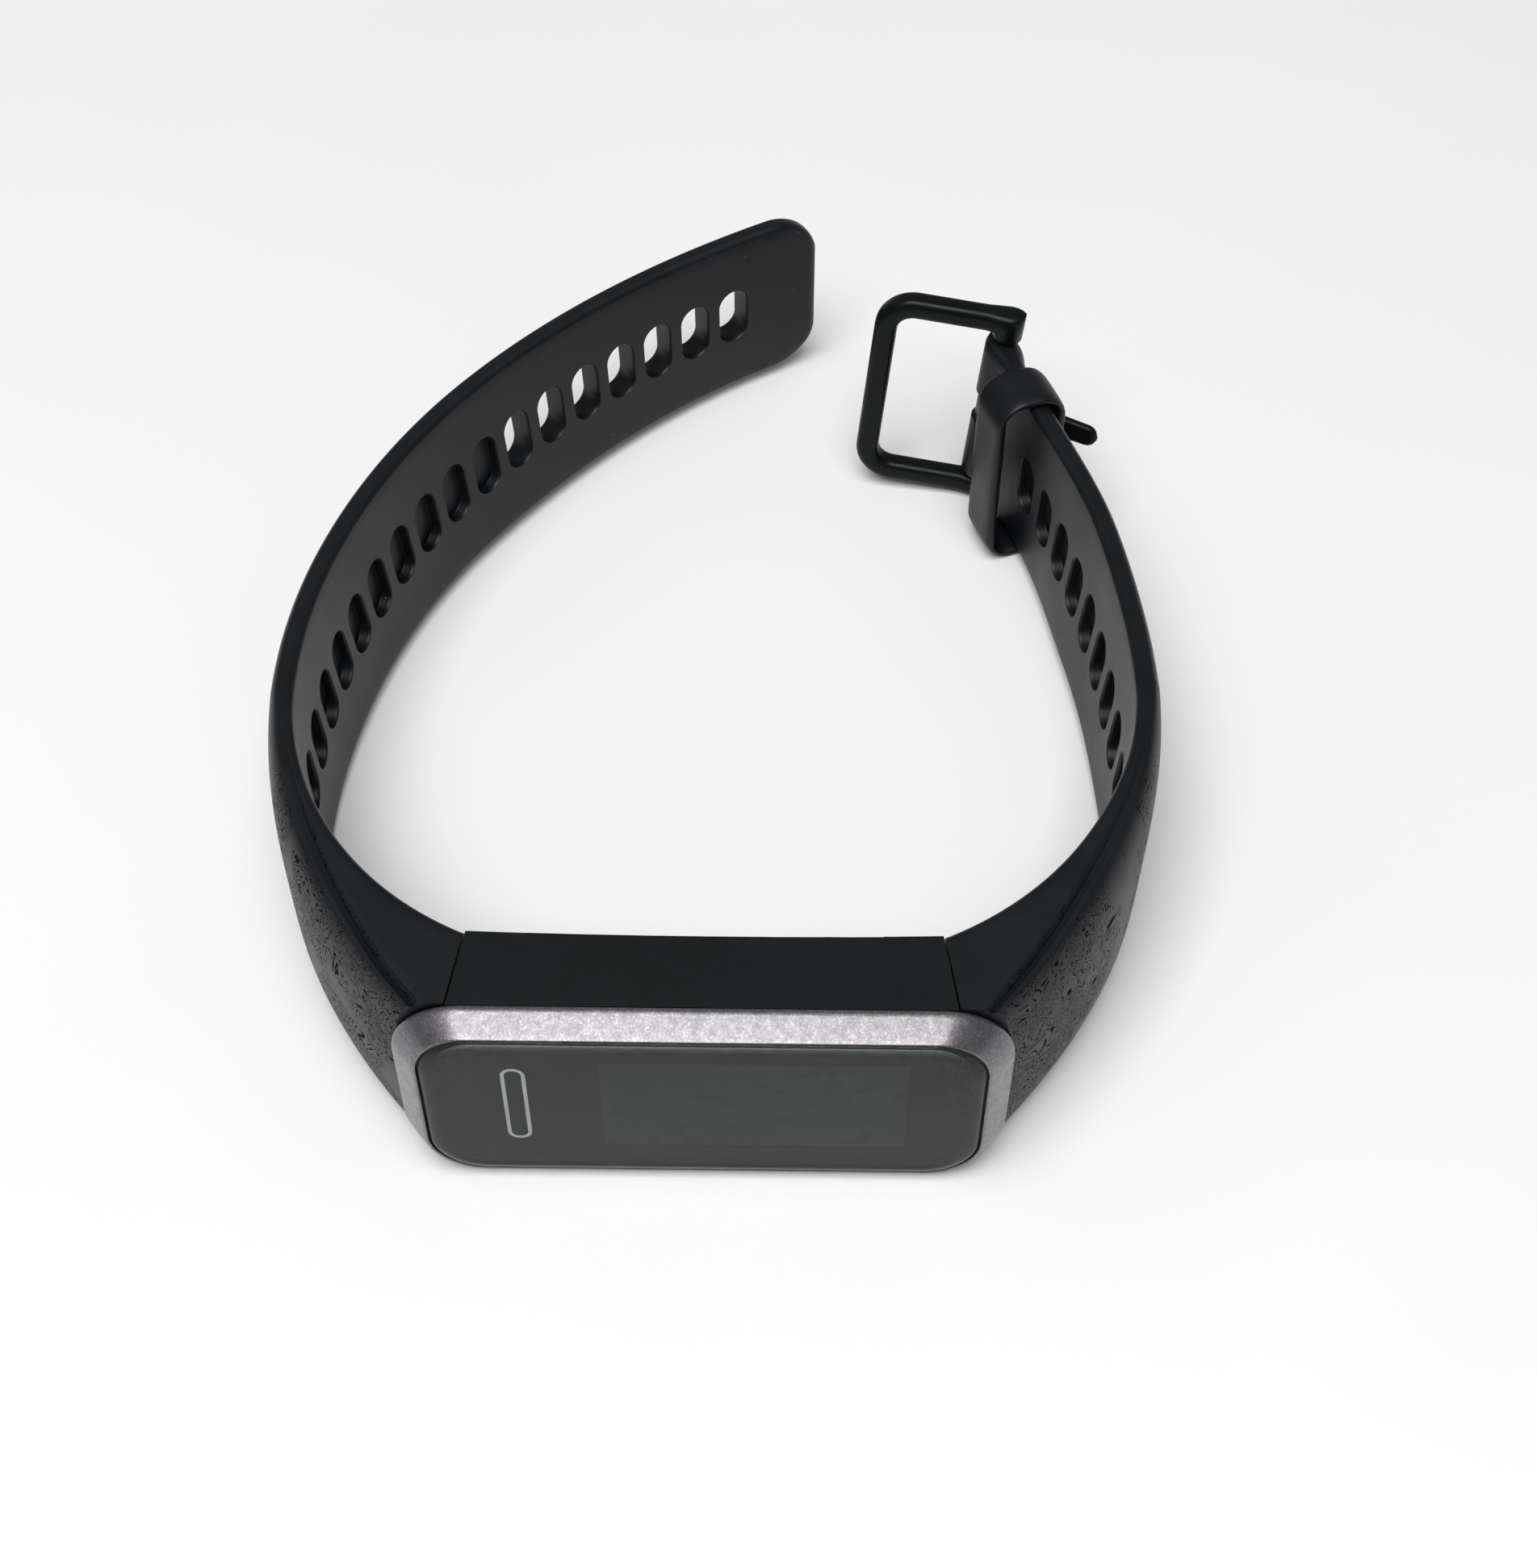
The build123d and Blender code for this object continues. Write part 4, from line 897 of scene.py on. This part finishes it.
def make_keeper():
    at, head, n = strap_point(SHORT, SHORT_TOTAL - KEEPER_BACK - KEEPER_LENGTH / 2)
    d = direction(head)
    depth = KEEPER_OPENING + 2 * KEEPER_WALL
    centre = at + n * (THICK + GAP + KEEPER_WALL - depth / 2)
    outer = rounded_rect(depth / 2, KEEPER_HALF, KEEPER_ROUND, 16)
    inner = rounded_rect(KEEPER_OPENING / 2, KEEPER_HALF - KEEPER_SIDE, KEEPER_ROUND_INSIDE, 16)
    loops = []
    for (ox, oz), (ix, iz) in zip(outer, inner):
        ring = []
        for k in range(32):
            u, v = squircle(2 * math.pi * k / 32, 3.0, 4.0)
            t = 0.5 + 0.5 * u
            x, z = lerp(ix, ox, t), lerp(iz, oz, t)
            q = centre + n * x + d * (KEEPER_LENGTH / 2 * v)
            ring.append((q[0], q[1], KEEPER_HALF + z))
        loops.append(ring)
    return rings("keeper_skin", loops, closed=True)


keeper = make_keeper()
shade(keeper, 50)
paint(keeper, SILICONE_PLAIN)
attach(keeper, "keeper")
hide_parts("keeper_loop")


# ------------------------------------------------------------------ buckle
EAR, EAR_BLEND = 1.3, 2.2             # radius round the bar, and where the leg has its own thickness
FRAME_HEADING, FRAME_REACH, FRAME_HALF, FRAME_BEND = 172.0, 10.5, 9.2, 2.5
EAR_STEPS, LEG_STEPS, BEND_STEPS, BAR_STEPS = 9, 8, 14, 11


def make_frame():
    """The U-shaped frame: down one leg, across and back up the other, from ear to ear."""
    d, n = direction(FRAME_HEADING), direction(FRAME_HEADING - 90)
    reach, half, r = FRAME_REACH, FRAME_HALF, FRAME_BEND
    path = []
    for k in range(EAR_STEPS + 1):
        path.append((-EAR * math.cos(math.pi / 2 * k / EAR_STEPS), -half, 0, 1))
    for k in range(1, LEG_STEPS + 1):
        path.append(((reach - r) * k / LEG_STEPS, -half, 0, 1))
    for k in range(1, BEND_STEPS + 1):
        a = math.pi / 2 * k / BEND_STEPS
        path.append((reach - r + r * math.sin(a), -half + r - r * math.cos(a), math.sin(a), math.cos(a)))
    for k in range(1, BAR_STEPS + 1):
        path.append((reach, -half + r + 2 * (half - r) * k / (BAR_STEPS + 1), 1, 0))
    path += [(x, -z, sx, -sz) for x, z, sx, sz in reversed(path[:-BAR_STEPS])]
    loops = []
    for x, z, sx, sz in path:
        # (sx, sz) points outwards in the frame's own plane.
        side = np.array([sx, -abs(sz) if z < 0 else abs(sz)])
        tall = 1.0
        if x < 0:
            tall = math.sqrt(max(0.01, EAR ** 2 - x ** 2))
        elif x < EAR_BLEND:
            tall = lerp(EAR, 1.0, smooth(x / EAR_BLEND))
        ring = []
        for k in range(28):
            u, v = squircle(2 * math.pi * k / 28)
            px, pz = x + side[0] * u, z + side[1] * u
            q = BAR + d * px + n * (v * tall)
            ring.append(on_bar((q[0], q[1], FRAME_MID + pz)))
        loops.append(ring)
    return rings("buckle_ring", loops)


def turned(name, profile, bottom, ring=48):
    """Ring on the leaning bar, turned from a closed profile of (radius, height) points."""
    loops = []
    for k in range(ring):
        a = 2 * math.pi * k / ring
        point = [(BAR[0] + r * math.cos(a), BAR[1] + r * math.sin(a), bottom + z) for r, z in profile]
        loops.append([on_bar(q) for q in point])
    return rings(name, loops, closed=True)


BOSS_LOW = LUG_HIGH + 0.3
EAR_BOSS = [(BOSS_BORE, 0.0), (1.12, 0.0), (1.24, 0.05), (EAR, 0.18), (EAR, 1.6), (BOSS_BORE, 1.6)]
PIN_HOLES = ((0.9, 3.0, PIN_BORE), (BOSS_LOW - 0.5, 18.55, BOSS_BORE), (17.0, 19.85, PIN_BORE))


def make_buckle():
    obj = make_frame()
    cut(obj, turned("ear_boss", EAR_BOSS, BOSS_LOW), "UNION")
    for low, high, radius in PIN_HOLES:
        cut(obj, bar_bore("pin_hole", radius, low, high))
    return obj


buckle = make_buckle()
shade(buckle, 50)
paint(buckle, BUCKLE)
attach(buckle, "buckle_frame")
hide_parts("buckle_frame")

TANG_HEADING, TANG_REACH, TANG_STEPS = -22.5, 9.8, 40
SLEEVE = [
    (LUG_BORE, -1.2), (1.30, -1.2), (1.44, -1.14), (1.48, -1.0),
    (1.48, 1.0), (1.44, 1.14), (1.30, 1.2), (LUG_BORE, 1.2),
]


def make_tang():
    """The prong, with the sleeve that turns on the spring bar."""
    d, n = direction(TANG_HEADING), direction(TANG_HEADING - 90)
    loops = []
    for k in range(TANG_STEPS + 1):
        u = k / TANG_STEPS
        x = lerp(0.2, TANG_REACH, u)
        nose = max(0.0, x - TANG_REACH + 1.0)
        wide = lerp(1.2, 1.0, smooth(u)) * math.sqrt(max(0.02, 1 - nose ** 2))
        tall = lerp(0.62, 0.45, u) * math.sqrt(max(0.05, 1 - nose ** 2))
        bow = 0.1 * math.sin(math.pi * u)
        ring = []
        for j in range(24):
            w, v = squircle(2 * math.pi * j / 24, 3.2)
            q = BAR + d * x + n * (v * tall - bow)
            ring.append(on_bar((q[0], q[1], FRAME_MID + w * wide)))
        loops.append(ring)
    blade = rings("buckle_prong", loops)
    cut(blade, turned("prong_sleeve", SLEEVE, FRAME_MID), "UNION")
    cut(blade, bar_bore("prong_bore", TANG_BORE, FRAME_MID - 2, FRAME_MID + 2, 48))
    return blade


tang = make_tang()
shade(tang, 45)
paint(tang, BUCKLE)
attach(tang, "buckle_tang")
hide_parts("buckle_tang")


# ------------------------------------------------------------------ table, light and camera
TABLE_HALF = 1.6          # metres
floor_mesh = bpy.data.meshes.new("table")
corners = [(x * TABLE_HALF, y * TABLE_HALF, 0) for x, y in ((-1, -1), (1, -1), (1, 1), (-1, 1))]
floor_mesh.from_pydata(corners, [], [(0, 1, 2, 3)])
table = new_object("table", floor_mesh)
tm = Mat("table_white")
tm.colour(tm.ramp(tm.noise(8, 3), [(0.3, (0.84, 0.84, 0.84)), (0.7, (0.88, 0.88, 0.875))]))
tm.roughness(tm.span(tm.noise(60, 3), 0.3, 0.7, 0.34, 0.42))
tm.set(Specular_IOR_Level=0.35)
paint(table, tm.mat)

WORLD_STRENGTH = 0.22
world = bpy.data.worlds.new("studio")
bpy.context.scene.world = world
world.use_nodes = True
background = world.node_tree.nodes["Background"]
background.inputs["Color"].default_value = (1.0, 1.0, 1.0, 1)
background.inputs["Strength"].default_value = WORLD_STRENGTH


def area(name, place, target, size_m, power):
    """Rectangular light aimed at a point; metres and watts."""
    light = bpy.data.lights.new(name, "AREA")
    light.shape = "RECTANGLE"
    light.size, light.size_y = size_m
    light.energy = power
    obj = bpy.data.objects.new(name, light)
    obj.location = place
    obj.rotation_euler = (Vector(target) - Vector(place)).to_track_quat("-Z", "Y").to_euler()
    bpy.context.scene.collection.objects.link(obj)


area("top_light", place=(-0.09, -0.24, 0.80), target=(0, 0.03, 0), size_m=(0.62, 0.62), power=8.2)

# The camera fitted to the photo: millimetres, metres and degrees.
LENS, SENSOR = 57.19, 36.0
CAMERA_AT = Vector((0.005354, -0.098731, 0.161368))
PITCH, YAW, ROLL = 51.0831, -0.5004, 0.2336
cam_data = bpy.data.cameras.new("camera")
cam_data.lens = LENS
cam_data.sensor_width = SENSOR
cam_data.sensor_fit = "AUTO"
cam_data.clip_start = 0.01
camera = bpy.data.objects.new("camera", cam_data)
pitch, yaw, roll = math.radians(PITCH), math.radians(YAW), math.radians(ROLL)
forward = Vector((math.sin(yaw) * math.cos(pitch), math.cos(yaw) * math.cos(pitch), -math.sin(pitch)))
right = forward.cross(Vector((0, 0, 1))).normalized()
up = right.cross(forward)
r2 = math.cos(roll) * right + math.sin(roll) * up
u2 = -math.sin(roll) * right + math.cos(roll) * up
camera.matrix_world = Matrix((
    (r2.x, u2.x, -forward.x, CAMERA_AT.x),
    (r2.y, u2.y, -forward.y, CAMERA_AT.y),
    (r2.z, u2.z, -forward.z, CAMERA_AT.z),
    (0, 0, 0, 1),
))
bpy.context.scene.collection.objects.link(camera)
bpy.context.scene.camera = camera
bpy.context.scene.view_settings.view_transform = "Standard"
